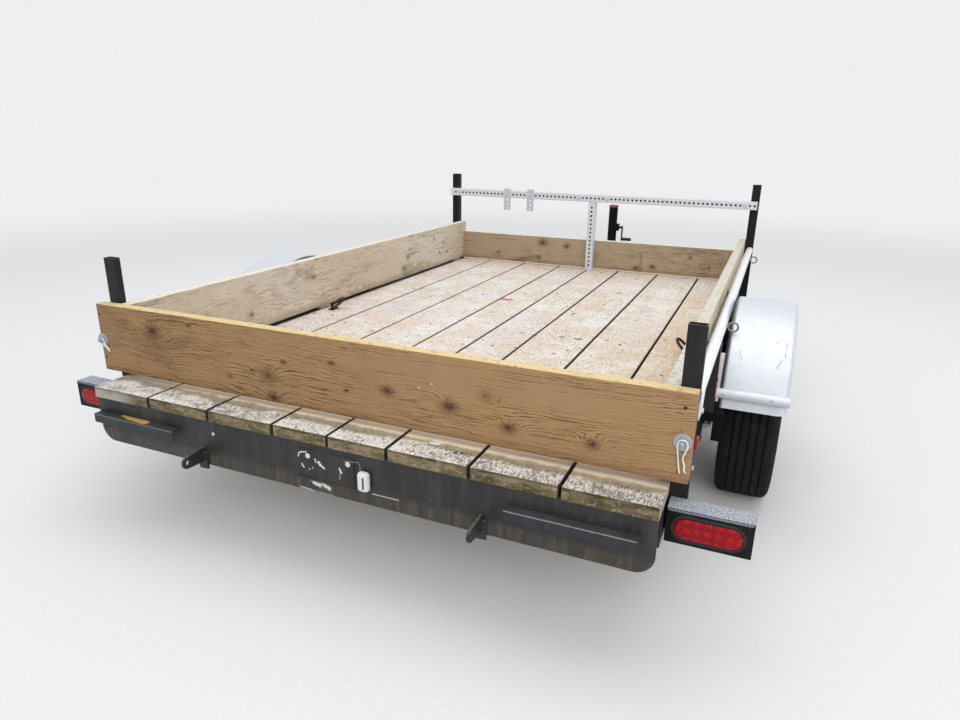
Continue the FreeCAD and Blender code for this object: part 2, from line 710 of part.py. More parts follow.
def axle_clamps():
    """U-bolts over the axle with a tie plate under each spring."""
    under = spring_seat_z() - LEAF_COUNT * LEAF_T - SEAT
    top = TYRE_R + AXLE_TUBE / 2 + SEAT
    inner = AXLE_TUBE / 2 + CLAMP_FIT
    outer = inner + CLAMP_BAR
    low = under - CLAMP_PLATE_T - CLAMP_TAIL
    reach = SPRING_W / 2 + CLAMP_FIT
    margin = CLAMP_PLATE_MARGIN
    plate = block(SPRING_X - reach - CLAMP_BAR - margin, SPRING_X + reach + CLAMP_BAR + margin,
                  AXLE_Y - outer - margin, AXLE_Y + outer + margin, under - CLAMP_PLATE_T, under)
    bows = []
    for x in (SPRING_X - reach - CLAMP_BAR, SPRING_X + reach):
        bows.append(face_of([Vec(x, AXLE_Y - outer, low), Vec(x, AXLE_Y - outer, top + CLAMP_BAR),
                             Vec(x, AXLE_Y + outer, top + CLAMP_BAR), Vec(x, AXLE_Y + outer, low),
                             Vec(x, AXLE_Y + inner, low), Vec(x, AXLE_Y + inner, top),
                             Vec(x, AXLE_Y - inner, top), Vec(x, AXLE_Y - inner, low)]
                            ).extrude(Vec(CLAMP_BAR, 0, 0)))
    return both_sides(plate.fuse(bows).removeSplitter())


def seat_wheel(shape, side):
    """Turn a wheel piece built about Z to the axle line; its outer face is at +Z."""
    shape.rotate(Vec(0, 0, 0), Y_AXIS, side * 90.0)
    shape.translate(Vec(side * WHEEL_X, AXLE_Y, TYRE_R))
    return shape


def tyre(side):
    """Trailer tyre: revolved carcass with chamfered shoulders, its beads between the rim's flanges."""
    half = TYRE_W / 2
    bead = RIM_HALF_W - TYRE_BEAD_FIT
    bead_r = RIM_R + TYRE_BEAD_FIT
    clinch_r = RIM_R + RIM_FLANGE_H + TYRE_BEAD_FIT
    half_line = [(bead_r, bead), (clinch_r, bead), (clinch_r, half), (TYRE_R - TYRE_SHOULDER, half),
                 (TYRE_R, TYRE_TREAD_HALF)]
    return seat_wheel(revolved(half_line + [(r, -z) for r, z in reversed(half_line)]), side)


def lug_ring(radius, base_z, length):
    """Small prisms on the wheel's bolt circle."""
    ring = []
    for index in range(LUG_COUNT):
        angle = 2 * math.pi * index / LUG_COUNT
        centre = Vec(LUG_PCD / 2 * math.cos(angle), LUG_PCD / 2 * math.sin(angle), base_z)
        ring.append(prism(6, radius, centre, Z_AXIS, length))
    return ring


def rim(side):
    """Pressed steel wheel: flanged barrel and dished disc with lug holes."""
    edge = RIM_HALF_W + RIM_FLANGE_W
    tip = RIM_R + RIM_FLANGE_H
    inner = RIM_R - RIM_T
    barrel = revolved([(inner, -edge), (tip, -edge), (tip, -RIM_HALF_W), (RIM_R, -RIM_HALF_W),
                       (RIM_R, RIM_HALF_W), (tip, RIM_HALF_W), (tip, edge), (inner, edge)])
    bore = HUB_CAP_R + DISC_BORE_FIT
    weld = inner + RIM_T / 2
    disc = revolved([(bore, 0), (DISC_FLAT_R, 0), (DISC_FLAT_R, DISC_DISH), (weld, DISC_DISH),
                     (weld, DISC_DISH + DISC_T), (DISC_FLAT_R - DISC_T, DISC_DISH + DISC_T),
                     (DISC_FLAT_R - DISC_T, DISC_T), (bore, DISC_T)])
    disc = disc.cut(Part.makeCompound(lug_ring(LUG_R + LUG_FIT, 0, DISC_T)))
    return seat_wheel(barrel.fuse(disc).removeSplitter(), side)


def hub(side):
    """Hub with its lobed flange, studs, nuts and closed grease cap."""
    barrel = revolved([(0, -HUB_DEPTH), (HUB_R, -HUB_DEPTH), (HUB_R, -SEAT), (HUB_CAP_R, -SEAT),
                       (HUB_CAP_R, HUB_CAP_H), (0, HUB_CAP_H)])
    flange = prism(HUB_LOBES, HUB_FLANGE_R, Vec(0, 0, -HUB_FLANGE_T), Z_AXIS, HUB_FLANGE_T - SEAT)
    studs = lug_ring(LUG_R, -HUB_FLANGE_T / 2, HUB_FLANGE_T / 2 + LUG_REACH)
    nuts = lug_ring(NUT_R, DISC_T + SEAT, NUT_H)
    bore_depth = HUB_DEPTH + SPINDLE_REACH + SPINDLE_COLLAR
    bore = rod(SPINDLE_R + SPINDLE_FIT, Vec(0, 0, -HUB_DEPTH), Z_AXIS, bore_depth)
    return seat_wheel(barrel.fuse([flange] + studs + nuts).cut(bore).removeSplitter(), side)


def fender(side):
    """Round steel fender: flat crown with turned-down edges, swept about the axle line."""
    x0 = FENDER_INNER_X
    x1 = FENDER_INNER_X + FENDER_W
    sweep = 180.0 - 2 * FENDER_LOW_ANGLE
    low = FENDER_R - FENDER_LIP
    cut = FENDER_EDGE
    skin = FENDER_T
    bend = cut + skin * math.tan(math.radians(22.5))
    points = [(x0, low), (x0, FENDER_R - cut), (x0 + cut, FENDER_R), (x1 - cut, FENDER_R),
              (x1, FENDER_R - cut), (x1, low), (x1 - skin, low), (x1 - skin, FENDER_R - bend),
              (x1 - bend, FENDER_R - skin), (x0 + bend, FENDER_R - skin), (x0 + skin, FENDER_R - bend),
              (x0 + skin, low)]
    shell = face_of([Vec(x, 0, r) for x, r in points]).revolve(Vec(0, 0, 0), X_AXIS, sweep)
    shell.rotate(Vec(0, 0, 0), X_AXIS, -sweep / 2)
    shell.translate(Vec(0, AXLE_Y, TYRE_R))
    return shell if side > 0 else mirrored(shell)


def fenders():
    """Both fenders."""
    return Part.makeCompound([fender(1), fender(-1)])


def fender_pipes():
    """Cross bars that carry each fender at its rear and front ends."""
    bars = []
    for end in SIDES:
        start = Vec(POST_OUTER + 2 * SEAT, AXLE_Y + end * STAKE_SPREAD, FENDER_PIPE_Z)
        length = FENDER_INNER_X + FENDER_W + FENDER_PIPE_OVERHANG - POST_OUTER
        piece = rod(FENDER_PIPE_R, start, X_AXIS, length)
        bars += [piece, mirrored(piece)]
    return Part.makeCompound(bars)


def fender_stays():
    """Angled stays from the rails out to each fender pipe."""
    stays = []
    x0 = POST_OUTER + STAY_GAP
    lip_r = FENDER_R - FENDER_LIP
    top = TYRE_R + lip_r * math.sin(math.radians(FENDER_LOW_ANGLE)) - STAY_GAP
    for end in SIDES:
        y = AXLE_Y + end * STAKE_SPREAD
        drop = block(x0, x0 + STAY_W, y - STAY_DEPTH / 2, y + STAY_DEPTH / 2, STAY_BOTTOM, top)
        arm_top = FRAME_TOP - STAY_ARM_DROP
        arm = block(HALF_DECK + SEAT, x0, y - STAY_DEPTH / 2, y + STAY_DEPTH / 2,
                    arm_top - STAY_W, arm_top)
        stay = drop.fuse(arm).removeSplitter()
        stays += [stay, mirrored(stay)]
    return Part.makeCompound(stays)


def deck_planks():
    """Planks laid lengthwise with open joints: wide ones at the sides, two in the middle share what is left."""
    outer = [WIDE_PLANK] * OUTER_PLANKS
    middle = HALF_DECK - OUTER_PLANKS * (WIDE_PLANK + PLANK_GAP) - PLANK_GAP / 2
    widths = outer + [middle, middle] + outer
    planks = []
    x = -HALF_DECK
    for width in widths:
        planks.append(block(x, x + width, DECK_REAR, DECK_FRONT, FRAME_TOP + SEAT, DECK_TOP))
        x += width + PLANK_GAP
    return Part.makeCompound(planks)


def side_boards():
    """Side boards on edge along both deck edges, each on three cleats."""
    board = block(HALF_DECK - BOARD_T, HALF_DECK - SEAT, GATE_FRONT + SEAT, FRONT_BOARD_FRONT,
                  SIDE_BOARD_BOTTOM, SIDE_BOARD_BOTTOM + SIDE_BOARD_H)
    cleats = [block(HALF_DECK - BOARD_T, HALF_DECK - SEAT, y - CLEAT_HALF, y + CLEAT_HALF,
                    DECK_TOP + SEAT, SIDE_BOARD_BOTTOM)
              for y in (REAR_POST_Y + CLEAT_SETBACK, AXLE_Y, FRONT_POST_Y - CLEAT_SETBACK)]
    return both_sides(board.fuse(cleats).removeSplitter())


def front_board():
    """Front board standing on the deck between the side boards."""
    reach = HALF_DECK - BOARD_T - SEAT
    return block(-reach, reach, FRONT_BOARD_REAR, FRONT_BOARD_FRONT,
                 DECK_TOP + SEAT, DECK_TOP + FRONT_BOARD_H)


def gate_board():
    """Lift-out tailgate board behind the rear posts, with its two pin holes."""
    board = block(-GATE_LEFT, GATE_RIGHT, GATE_REAR, GATE_FRONT - SEAT, GATE_BOTTOM, GATE_BOTTOM + GATE_H)
    for x in (GATE_PIN_LEFT, GATE_PIN_RIGHT):
        board = board.cut(rod(GATE_PIN_R + GATE_PIN_FIT, Vec(x, GATE_REAR, GATE_PIN_Z), Y_AXIS, BOARD_T))
    return board


def gate_pins():
    """Pins through the tailgate, each with its washer."""
    pins = []
    length = GATE_PIN_OVERHANG + BOARD_T + REAR_POST_DEPTH + GATE_PIN_TAIL
    for x in (GATE_PIN_LEFT, GATE_PIN_RIGHT):
        pin = prism(BOLT_SIDES, GATE_PIN_R, Vec(x, GATE_REAR - GATE_PIN_OVERHANG, GATE_PIN_Z), Y_AXIS, length)
        washer_y = GATE_REAR - WASHER_T - SEAT
        washer = prism(WASHER_SIDES, WASHER_R, Vec(x, washer_y, GATE_PIN_Z), Y_AXIS, WASHER_T)
        pins.append(pin.fuse(washer).removeSplitter())
    return Part.makeCompound(pins)


def rear_posts():
    """Flat tube posts behind the side boards, running down to the lamp boxes."""
    top = DECK_TOP + REAR_POST_RISE
    right = square_tube(POST_X + SEAT, REAR_POST_Y, POST_W, REAR_POST_DEPTH, TUBE_WALL, LAMP_BOTTOM, top)
    ear = block(GATE_PIN_LEFT - GATE_EAR_HALF, -POST_OUTER - SEAT, GATE_FRONT, GATE_FRONT + REAR_POST_DEPTH,
                GATE_PIN_Z - GATE_EAR_HALF_H, GATE_PIN_Z + GATE_EAR_HALF_H)
    left = mirrored(right).fuse(ear)
    posts = []
    for post, x in ((right, GATE_PIN_RIGHT), (left, GATE_PIN_LEFT)):
        hole = rod(GATE_PIN_R + GATE_PIN_FIT, Vec(x, GATE_FRONT, GATE_PIN_Z), Y_AXIS, REAR_POST_DEPTH)
        posts.append(post.cut(hole))
    return Part.makeCompound(posts)


def front_posts():
    """Tall square tube posts beside the front board."""
    post = square_tube(POST_X + SEAT, FRONT_POST_Y, POST_W, POST_W, TUBE_WALL,
                       RAIL_BOTTOM, DECK_TOP + FRONT_POST_RISE)
    return both_sides(post)


def mid_stakes():
    """Short stakes that back the side boards, carry the side pipes and hold the fender pipes."""
    stakes = []
    for end in SIDES:
        y = AXLE_Y + end * STAKE_SPREAD
        stake = square_tube(POST_X + SEAT, y, POST_W, POST_W, TUBE_WALL,
                            FRAME_TOP - STAY_ARM_DROP + SEAT, PIPE_Z - PIPE_R - SEAT)
        stakes += [stake, mirrored(stake)]
    return Part.makeCompound(stakes)


def side_pipe():
    """Right-hand top pipe: round for most of its run, its rear end pressed flat onto the rear post."""
    front_y = FRONT_BOARD_REAR - SEAT
    tail_y = REAR_POST_Y - PIPE_FLAT_TAIL
    pressed_y = REAR_POST_FRONT + PIPE_FLAT_LEAD
    round_y = pressed_y + PIPE_NECK
    flat_x = POST_OUTER + 2 * SEAT + PIPE_FLAT_T / 2
    half_height = math.pi * PIPE_R / 2 - PIPE_FLAT_T / 2

    def outline(x, y, half_w, half_h):
        """Closed many-sided oval across the pipe."""
        ring = []
        for index in range(PIPE_FLAT_SIDES):
            angle = 2 * math.pi * index / PIPE_FLAT_SIDES
            ring.append(Vec(x + half_w * math.cos(angle), y, PIPE_Z + half_h * math.sin(angle)))
        return Part.makePolygon(ring + [ring[0]])

    pressed = outline(flat_x, pressed_y, PIPE_FLAT_T / 2, half_height)
    neck = Part.makeLoft([outline(PIPE_X, round_y, PIPE_R, PIPE_R), pressed], True, True)
    flat = Part.Face(pressed).extrude(Vec(0, tail_y - pressed_y, 0))
    tube = pipe(PIPE_R, PIPE_WALL, Vec(PIPE_X, round_y, PIPE_Z), Y_AXIS, front_y - round_y)
    return tube.fuse([neck, flat])


def side_pipes():
    """Both top pipes."""
    return both_sides(side_pipe())


def cross_bar():
    """Perforated square tube across the front posts, its two end holes bored round."""
    rear = FRONT_BOARD_REAR - BAR_SIZE - SEAT
    half = BAR_SIZE / 2
    outer = block(-BAR_LENGTH / 2, BAR_LENGTH / 2, rear, rear + BAR_SIZE, BAR_Z - half, BAR_Z + half)
    inner = block(-BAR_LENGTH / 2, BAR_LENGTH / 2, rear + BAR_WALL, rear + BAR_SIZE - BAR_WALL,
                  BAR_Z - half + BAR_WALL, BAR_Z + half - BAR_WALL)
    tube = outer.cut(inner)
    count = int((BAR_LENGTH + SEAT) / HOLE_PITCH)
    end_hole = (count - 1) * HOLE_PITCH / 2
    for x in (-end_hole, end_hole):
        tube = tube.cut(rod(HOLE_R, Vec(x, rear, BAR_Z), Y_AXIS, BAR_WALL))
    start = Vec(HOLE_PITCH - end_hole, rear, BAR_Z)
    return perforate(tube, start, Vec(HOLE_PITCH, 0, 0), count - 2, Y_AXIS, BAR_WALL)


def bar_strut():
    """Perforated strut between the crossbar and the deck, against the front board."""
    rear = FRONT_BOARD_REAR - BAR_SIZE - SEAT
    top = BAR_Z - BAR_SIZE / 2 - SEAT
    tube = square_tube(STRUT_X, rear + BAR_SIZE / 2, BAR_SIZE, BAR_SIZE, BAR_WALL, DECK_TOP + SEAT, top)
    count = int((top - DECK_TOP - STRUT_FIRST_HOLE) / HOLE_PITCH)
    start = Vec(STRUT_X, rear, top - STRUT_FIRST_HOLE)
    return perforate(tube, start, Vec(0, 0, -HOLE_PITCH), count, Y_AXIS, BAR_WALL)


def bar_strips():
    """Two short perforated strips upright on the crossbar's rear face."""
    rear = FRONT_BOARD_REAR - BAR_SIZE - 2 * SEAT - STRIP_T
    low = BAR_Z - STRIP_H / 2 - STRIP_DROP
    strips = []
    for x in STRIP_PLACES:
        strip = block(x - STRIP_W / 2, x + STRIP_W / 2, rear, rear + STRIP_T, low, low + STRIP_H)
        strips.append(perforate(strip, Vec(x, rear, low + HOLE_PITCH / 2), Vec(0, 0, HOLE_PITCH),
                                STRIP_HOLES, Y_AXIS, STRIP_T))
    return Part.makeCompound(strips)


def oval(length, height, y, depth):
    """Stadium-shaped block facing the rear, centred on the right-hand lamp."""
    half = (length - height) / 2
    r = height / 2
    left = LENS_X - half
    right = LENS_X + half
    edges = [Part.LineSegment(Vec(left, y, LENS_Z - r), Vec(right, y, LENS_Z - r)).toShape(),
             Part.Arc(Vec(right, y, LENS_Z - r), Vec(right + r, y, LENS_Z),
                      Vec(right, y, LENS_Z + r)).toShape(),
             Part.LineSegment(Vec(right, y, LENS_Z + r), Vec(left, y, LENS_Z + r)).toShape(),
             Part.Arc(Vec(left, y, LENS_Z + r), Vec(left - r, y, LENS_Z), Vec(left, y, LENS_Z - r)).toShape()]
    return Part.Face(Part.Wire(edges)).extrude(Vec(0, depth, 0))


def lamp_boxes():
    """Folded steel lamp boxes beside the rear beam, each with its oval lamp opening."""
    wall = LAMP_BOX_WALL
    front = LAMP_REAR + LAMP_BOX_DEPTH
    box = block(LAMP_BOX_X, LAMP_BOX_X + LAMP_BOX_W, LAMP_REAR, front, LAMP_BOTTOM, LAMP_TOP)
    box = box.cut(block(LAMP_BOX_X + wall, LAMP_BOX_X + LAMP_BOX_W - wall, LAMP_REAR + wall,
                        front, LAMP_BOTTOM + wall, LAMP_TOP - wall))
    box = box.cut(oval(LENS_LENGTH + 2 * LENS_FIT, LENS_H + 2 * LENS_FIT, LAMP_REAR, wall))
    tab = block(POST_X - LAMP_TAB_W / 2, POST_X + LAMP_TAB_W / 2, LAMP_REAR + wall, front,
                LAMP_TOP - 2 * wall, LAMP_TOP - wall)
    return both_sides(box.fuse(tab).removeSplitter())


def lamp_grommets():
    """Rubber rings round the lamps, on the boxes' rear faces."""
    rear = LAMP_REAR - GROMMET_T - SEAT
    ring = oval(LENS_LENGTH + 2 * GROMMET_RIM, LENS_H + 2 * GROMMET_RIM, rear, GROMMET_T)
    return both_sides(ring.cut(oval(LENS_LENGTH + 2 * LENS_FIT, LENS_H + 2 * LENS_FIT, rear, GROMMET_T)))


def lamp_lenses():
    """Oval lamp units through the rings and the boxes' rear walls."""
    return both_sides(oval(LENS_LENGTH, LENS_H, LAMP_REAR - LENS_PROUD, LENS_DEPTH))


def step_ledges():
    """Angle ledges on the rear beam, near its ends."""
    ledges = []
    rear = BEAM_REAR - SEAT
    tip = rear - STEP_SIZE
    for _, side, inset, length in STEP_TABLE:
        outer = side * (HALF_DECK - inset)
        inner = outer - side * length
        x0, x1 = min(outer, inner), max(outer, inner)
        shelf = block(x0, x1, tip, rear, STEP_TOP - STEP_T, STEP_TOP)
        apron = block(x0, x1, tip, tip + STEP_T, STEP_TOP - STEP_SIZE, STEP_TOP)
        ledges.append(shelf.fuse(apron).removeSplitter())
    return Part.makeCompound(ledges)


def tow_lugs():
    """Upright lugs with a round eye, each on a small base plate on the rear beam."""
    low = FRAME_TOP - REAR_BEAM_H
    tip_y = DECK_REAR - LUG_OVERHANG + LUG_TIP_R
    tip_z = low + LUG_TIP_RISE
    root_y = BEAM_REAR - SEAT
    x = LUG_X - LUG_T / 2
    plate = face_of([Vec(x, root_y, low + LUG_ROOT_TOP), Vec(x, root_y, low + LUG_ROOT_LOW),
                     Vec(x, tip_y, tip_z - LUG_TIP_R), Vec(x, tip_y, tip_z + LUG_TIP_R)]
                    ).extrude(Vec(LUG_T, 0, 0))
    lug = plate.fuse(rod(LUG_TIP_R, Vec(x, tip_y, tip_z), X_AXIS, LUG_T))
    lug = lug.cut(rod(LUG_HOLE_R, Vec(x, tip_y, tip_z), X_AXIS, LUG_T))
    base = block(LUG_X - LUG_BASE_HALF, LUG_X + LUG_BASE_HALF, root_y - LUG_BASE_T, root_y,
                 low + LUG_BASE_LOW, low + LUG_BASE_TOP)
    return both_sides(lug.fuse(base).removeSplitter())


def plate_bracket():
    """Thin bracket for a licence plate on the rear beam, its lower edge folded out."""
    rear = BEAM_REAR - SEAT
    sheet = block(BRACKET_LEFT, BRACKET_RIGHT, rear - BRACKET_T, rear, BRACKET_BOTTOM, BRACKET_TOP)
    fold = block(BRACKET_LEFT, BRACKET_RIGHT, rear - BRACKET_FOLD, rear,
                 BRACKET_BOTTOM, BRACKET_BOTTOM + BRACKET_T)
    return sheet.fuse(fold).removeSplitter()


def plate_lamp():
    """Small upright licence-plate lamp with rounded rear corners."""
    rear = BEAM_REAR - SEAT
    tip = rear - PLATE_LAMP_DEPTH
    body = block(PLATE_LAMP_LEFT, PLATE_LAMP_RIGHT, tip, rear, PLATE_LAMP_BOTTOM, PLATE_LAMP_TOP)
    corners = [edge for edge in body.Edges
               if edge.BoundBox.ZLength > PLATE_LAMP_ROUND and edge.BoundBox.YMax < tip + PLATE_LAMP_ROUND
               and edge.BoundBox.XLength < PLATE_LAMP_ROUND]
    return body.makeFillet(PLATE_LAMP_ROUND, corners)


def deck_rings():
    """Tie-down rings in strap plates on the deck, leaning in towards the middle of the load space."""
    top = DECK_TOP + SEAT + RING_PLATE_T
    lean = math.radians(DECK_RING_LEAN)
    centre = Vec(DECK_RING_X - DECK_RING_R * math.cos(lean), DECK_RING_Y,
                 top + DECK_RING_WIRE + DECK_RING_R * math.sin(lean))
    plate = block(DECK_RING_X - RING_PLATE_W / 2, DECK_RING_X + RING_PLATE_W / 2,
                  DECK_RING_Y - RING_PLATE_LENGTH / 2, DECK_RING_Y + RING_PLATE_LENGTH / 2,
                  DECK_TOP + SEAT, top)
    inner = DECK_RING_R - DECK_RING_WIRE
    outer = DECK_RING_R + DECK_RING_WIRE
    loop = revolved([(inner, -DECK_RING_WIRE), (outer, -DECK_RING_WIRE), (outer, DECK_RING_WIRE),
                     (inner, DECK_RING_WIRE)])
    loop.rotate(Vec(0, 0, 0), Y_AXIS, DECK_RING_LEAN)
    loop.translate(centre)
    saddle = block(DECK_RING_X - SADDLE_W / 2, DECK_RING_X + SADDLE_W / 2,
                   DECK_RING_Y - SADDLE_LENGTH / 2, DECK_RING_Y + SADDLE_LENGTH / 2, top, top + SADDLE_H)
    return both_sides(plate.fuse([loop, saddle]).removeSplitter())


def side_markers():
    """Small red reflectors on the rear posts' outer faces; the left one sits below that post's ear."""
    x = POST_OUTER + 2 * SEAT
    back, front = REAR_POST_Y - MARKER_W / 2, REAR_POST_Y + MARKER_W / 2
    low = MARKER_Z - MARKER_LEFT_DROP
    right = block(x, x + MARKER_T, back, front, MARKER_Z, MARKER_Z + MARKER_H)
    left = block(-x - MARKER_T, -x, back, front, low, low + MARKER_H)
    return Part.makeCompound([left, right])


NODES = {
    "side_rails": side_rails, "rear_beam": rear_beam, "front_beam": front_beam,
    "cross_members": cross_members, "tongue_legs": tongue_legs, "tongue_plates": tongue_plates,
    "coupler": coupler, "coupler_latch": coupler_latch, "jack_tube": jack_tube, "jack_cap": jack_cap,
    "jack_crank": jack_crank, "jack_leg": jack_leg, "axle_beam": axle_beam, "leaf_springs": leaf_springs,
    "spring_hangers": spring_hangers, "axle_clamps": axle_clamps,
    "tyre_left": lambda: tyre(-1), "tyre_right": lambda: tyre(1),
    "rim_left": lambda: rim(-1), "rim_right": lambda: rim(1),
    "hub_left": lambda: hub(-1), "hub_right": lambda: hub(1),
    "fenders": fenders, "fender_pipes": fender_pipes, "fender_stays": fender_stays,
    "deck_planks": deck_planks, "side_boards": side_boards, "front_board": front_board,
    "gate_board": gate_board, "gate_pins": gate_pins, "rear_posts": rear_posts,
    "front_posts": front_posts, "mid_stakes": mid_stakes, "side_pipes": side_pipes,
    "cross_bar": cross_bar, "bar_strut": bar_strut, "bar_strips": bar_strips,
    "lamp_boxes": lamp_boxes, "lamp_grommets": lamp_grommets,
    "lamp_lenses": lamp_lenses, "step_ledges": step_ledges, "tow_lugs": tow_lugs,
    "plate_bracket": plate_bracket, "plate_lamp": plate_lamp, "deck_rings": deck_rings,
    "side_markers": side_markers,
}

os.makedirs("parts", exist_ok=True)
for name, build in NODES.items():
    shape = build()
    print(name, len(shape.Solids), round(shape.Volume / 1000.0, 1), shape.isValid())
    shape.exportStep("parts/" + name + ".step")
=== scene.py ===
"""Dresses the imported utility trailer: weathered wood, painted steel, silver fenders, lamps and wheels.

Units are metres in the trailer's own frame: +X to its right, +Y forward to the coupler, +Z up.
"""

import logging
import math
from dataclasses import dataclass, field
from enum import Enum
from typing import Optional, Sequence, Union

import bmesh
import bpy
import numpy as np
from mathutils import Matrix, Vector


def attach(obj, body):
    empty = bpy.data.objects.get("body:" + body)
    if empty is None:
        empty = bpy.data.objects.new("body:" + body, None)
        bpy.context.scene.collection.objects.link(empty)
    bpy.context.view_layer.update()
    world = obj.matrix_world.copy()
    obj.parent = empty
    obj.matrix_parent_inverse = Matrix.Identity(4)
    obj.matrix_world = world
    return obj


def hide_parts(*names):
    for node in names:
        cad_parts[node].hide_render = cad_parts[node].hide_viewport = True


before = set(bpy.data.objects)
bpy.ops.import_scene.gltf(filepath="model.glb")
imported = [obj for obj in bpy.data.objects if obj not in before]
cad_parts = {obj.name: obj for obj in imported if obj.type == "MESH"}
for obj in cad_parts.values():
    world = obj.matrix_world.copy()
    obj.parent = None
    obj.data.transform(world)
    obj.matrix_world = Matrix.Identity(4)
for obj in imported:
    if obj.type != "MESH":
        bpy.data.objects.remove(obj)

LOG = logging.getLogger("trailer")
Array = np.ndarray
Colour = tuple[float, float, float]
Point = tuple[float, float, float]
Spot = tuple[float, float]
Number = Union["Signal", float]
SIDES = (-1, 1)


class Body(Enum):
    """Moving bodies that a piece rides on."""

    TRAILER = "trailer"
    JACK_LEG = "jack_leg"
    WHEEL_LEFT = "wheel_left"
    WHEEL_RIGHT = "wheel_right"


class Slot(Enum):
    """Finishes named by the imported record."""

    FRAME = "frame_paint"
    BLACK = "black_paint"
    SILVER = "silver_paint"
    RIM = "rim_paint"
    ZINC = "zinc"
    RED = "red_plastic"
    WHITE = "white_plastic"
    RUBBER = "rubber"
    TYRE = "tyre"
    PLANK = "weathered_wood"
    GREY = "grey_wood"
    BROWN = "brown_wood"
    GOLD = "gold_wood"


class Axis(Enum):
    """Direction that a bar, board or turned piece runs along."""

    X = 0
    Y = 1
    Z = 2


class Signal:
    """A node's output, used in Python expressions that add Math nodes."""

    def __init__(self, tree: "Tree", socket: bpy.types.NodeSocket) -> None:
        """Keep the tree and the output socket."""
        self.tree = tree
        self.socket = socket

    def __add__(self, other: Number) -> "Signal":
        """Sum."""
        return self.tree.math("ADD", self, other)

    __radd__ = __add__

    def __sub__(self, other: Number) -> "Signal":
        """Difference."""
        return self.tree.math("SUBTRACT", self, other)

    def __rsub__(self, other: Number) -> "Signal":
        """Difference with the number first."""
        return self.tree.math("SUBTRACT", other, self)

    def __mul__(self, other: Number) -> "Signal":
        """Product."""
        return self.tree.math("MULTIPLY", self, other)

    __rmul__ = __mul__

    def __truediv__(self, other: Number) -> "Signal":
        """Quotient."""
        return self.tree.math("DIVIDE", self, other)

    def __pow__(self, other: Number) -> "Signal":
        """Power."""
        return self.tree.math("POWER", self, other)

    def __abs__(self) -> "Signal":
        """Size without the sign."""
        return self.tree.math("ABSOLUTE", self)

    def fraction(self) -> "Signal":
        """Part after the decimal point."""
        return self.tree.math("FRACT", self)

    def exponent(self) -> "Signal":
        """e to this power."""
        return self.tree.math("EXPONENT", self)

    def ramp(self, low: float, high: float) -> "Signal":
        """Smooth rise from 0 where this is low to 1 where it is high."""
        settings = {"interpolation_type": "SMOOTHSTEP"}
        return self.tree.node("ShaderNodeMapRange", settings, {0: self, 1: low, 2: high, 3: 0.0, 4: 1.0})

    def fall(self, low: float, high: float) -> "Signal":
        """Smooth fall from 1 where this is low to 0 where it is high."""
        return 1.0 - self.ramp(low, high)


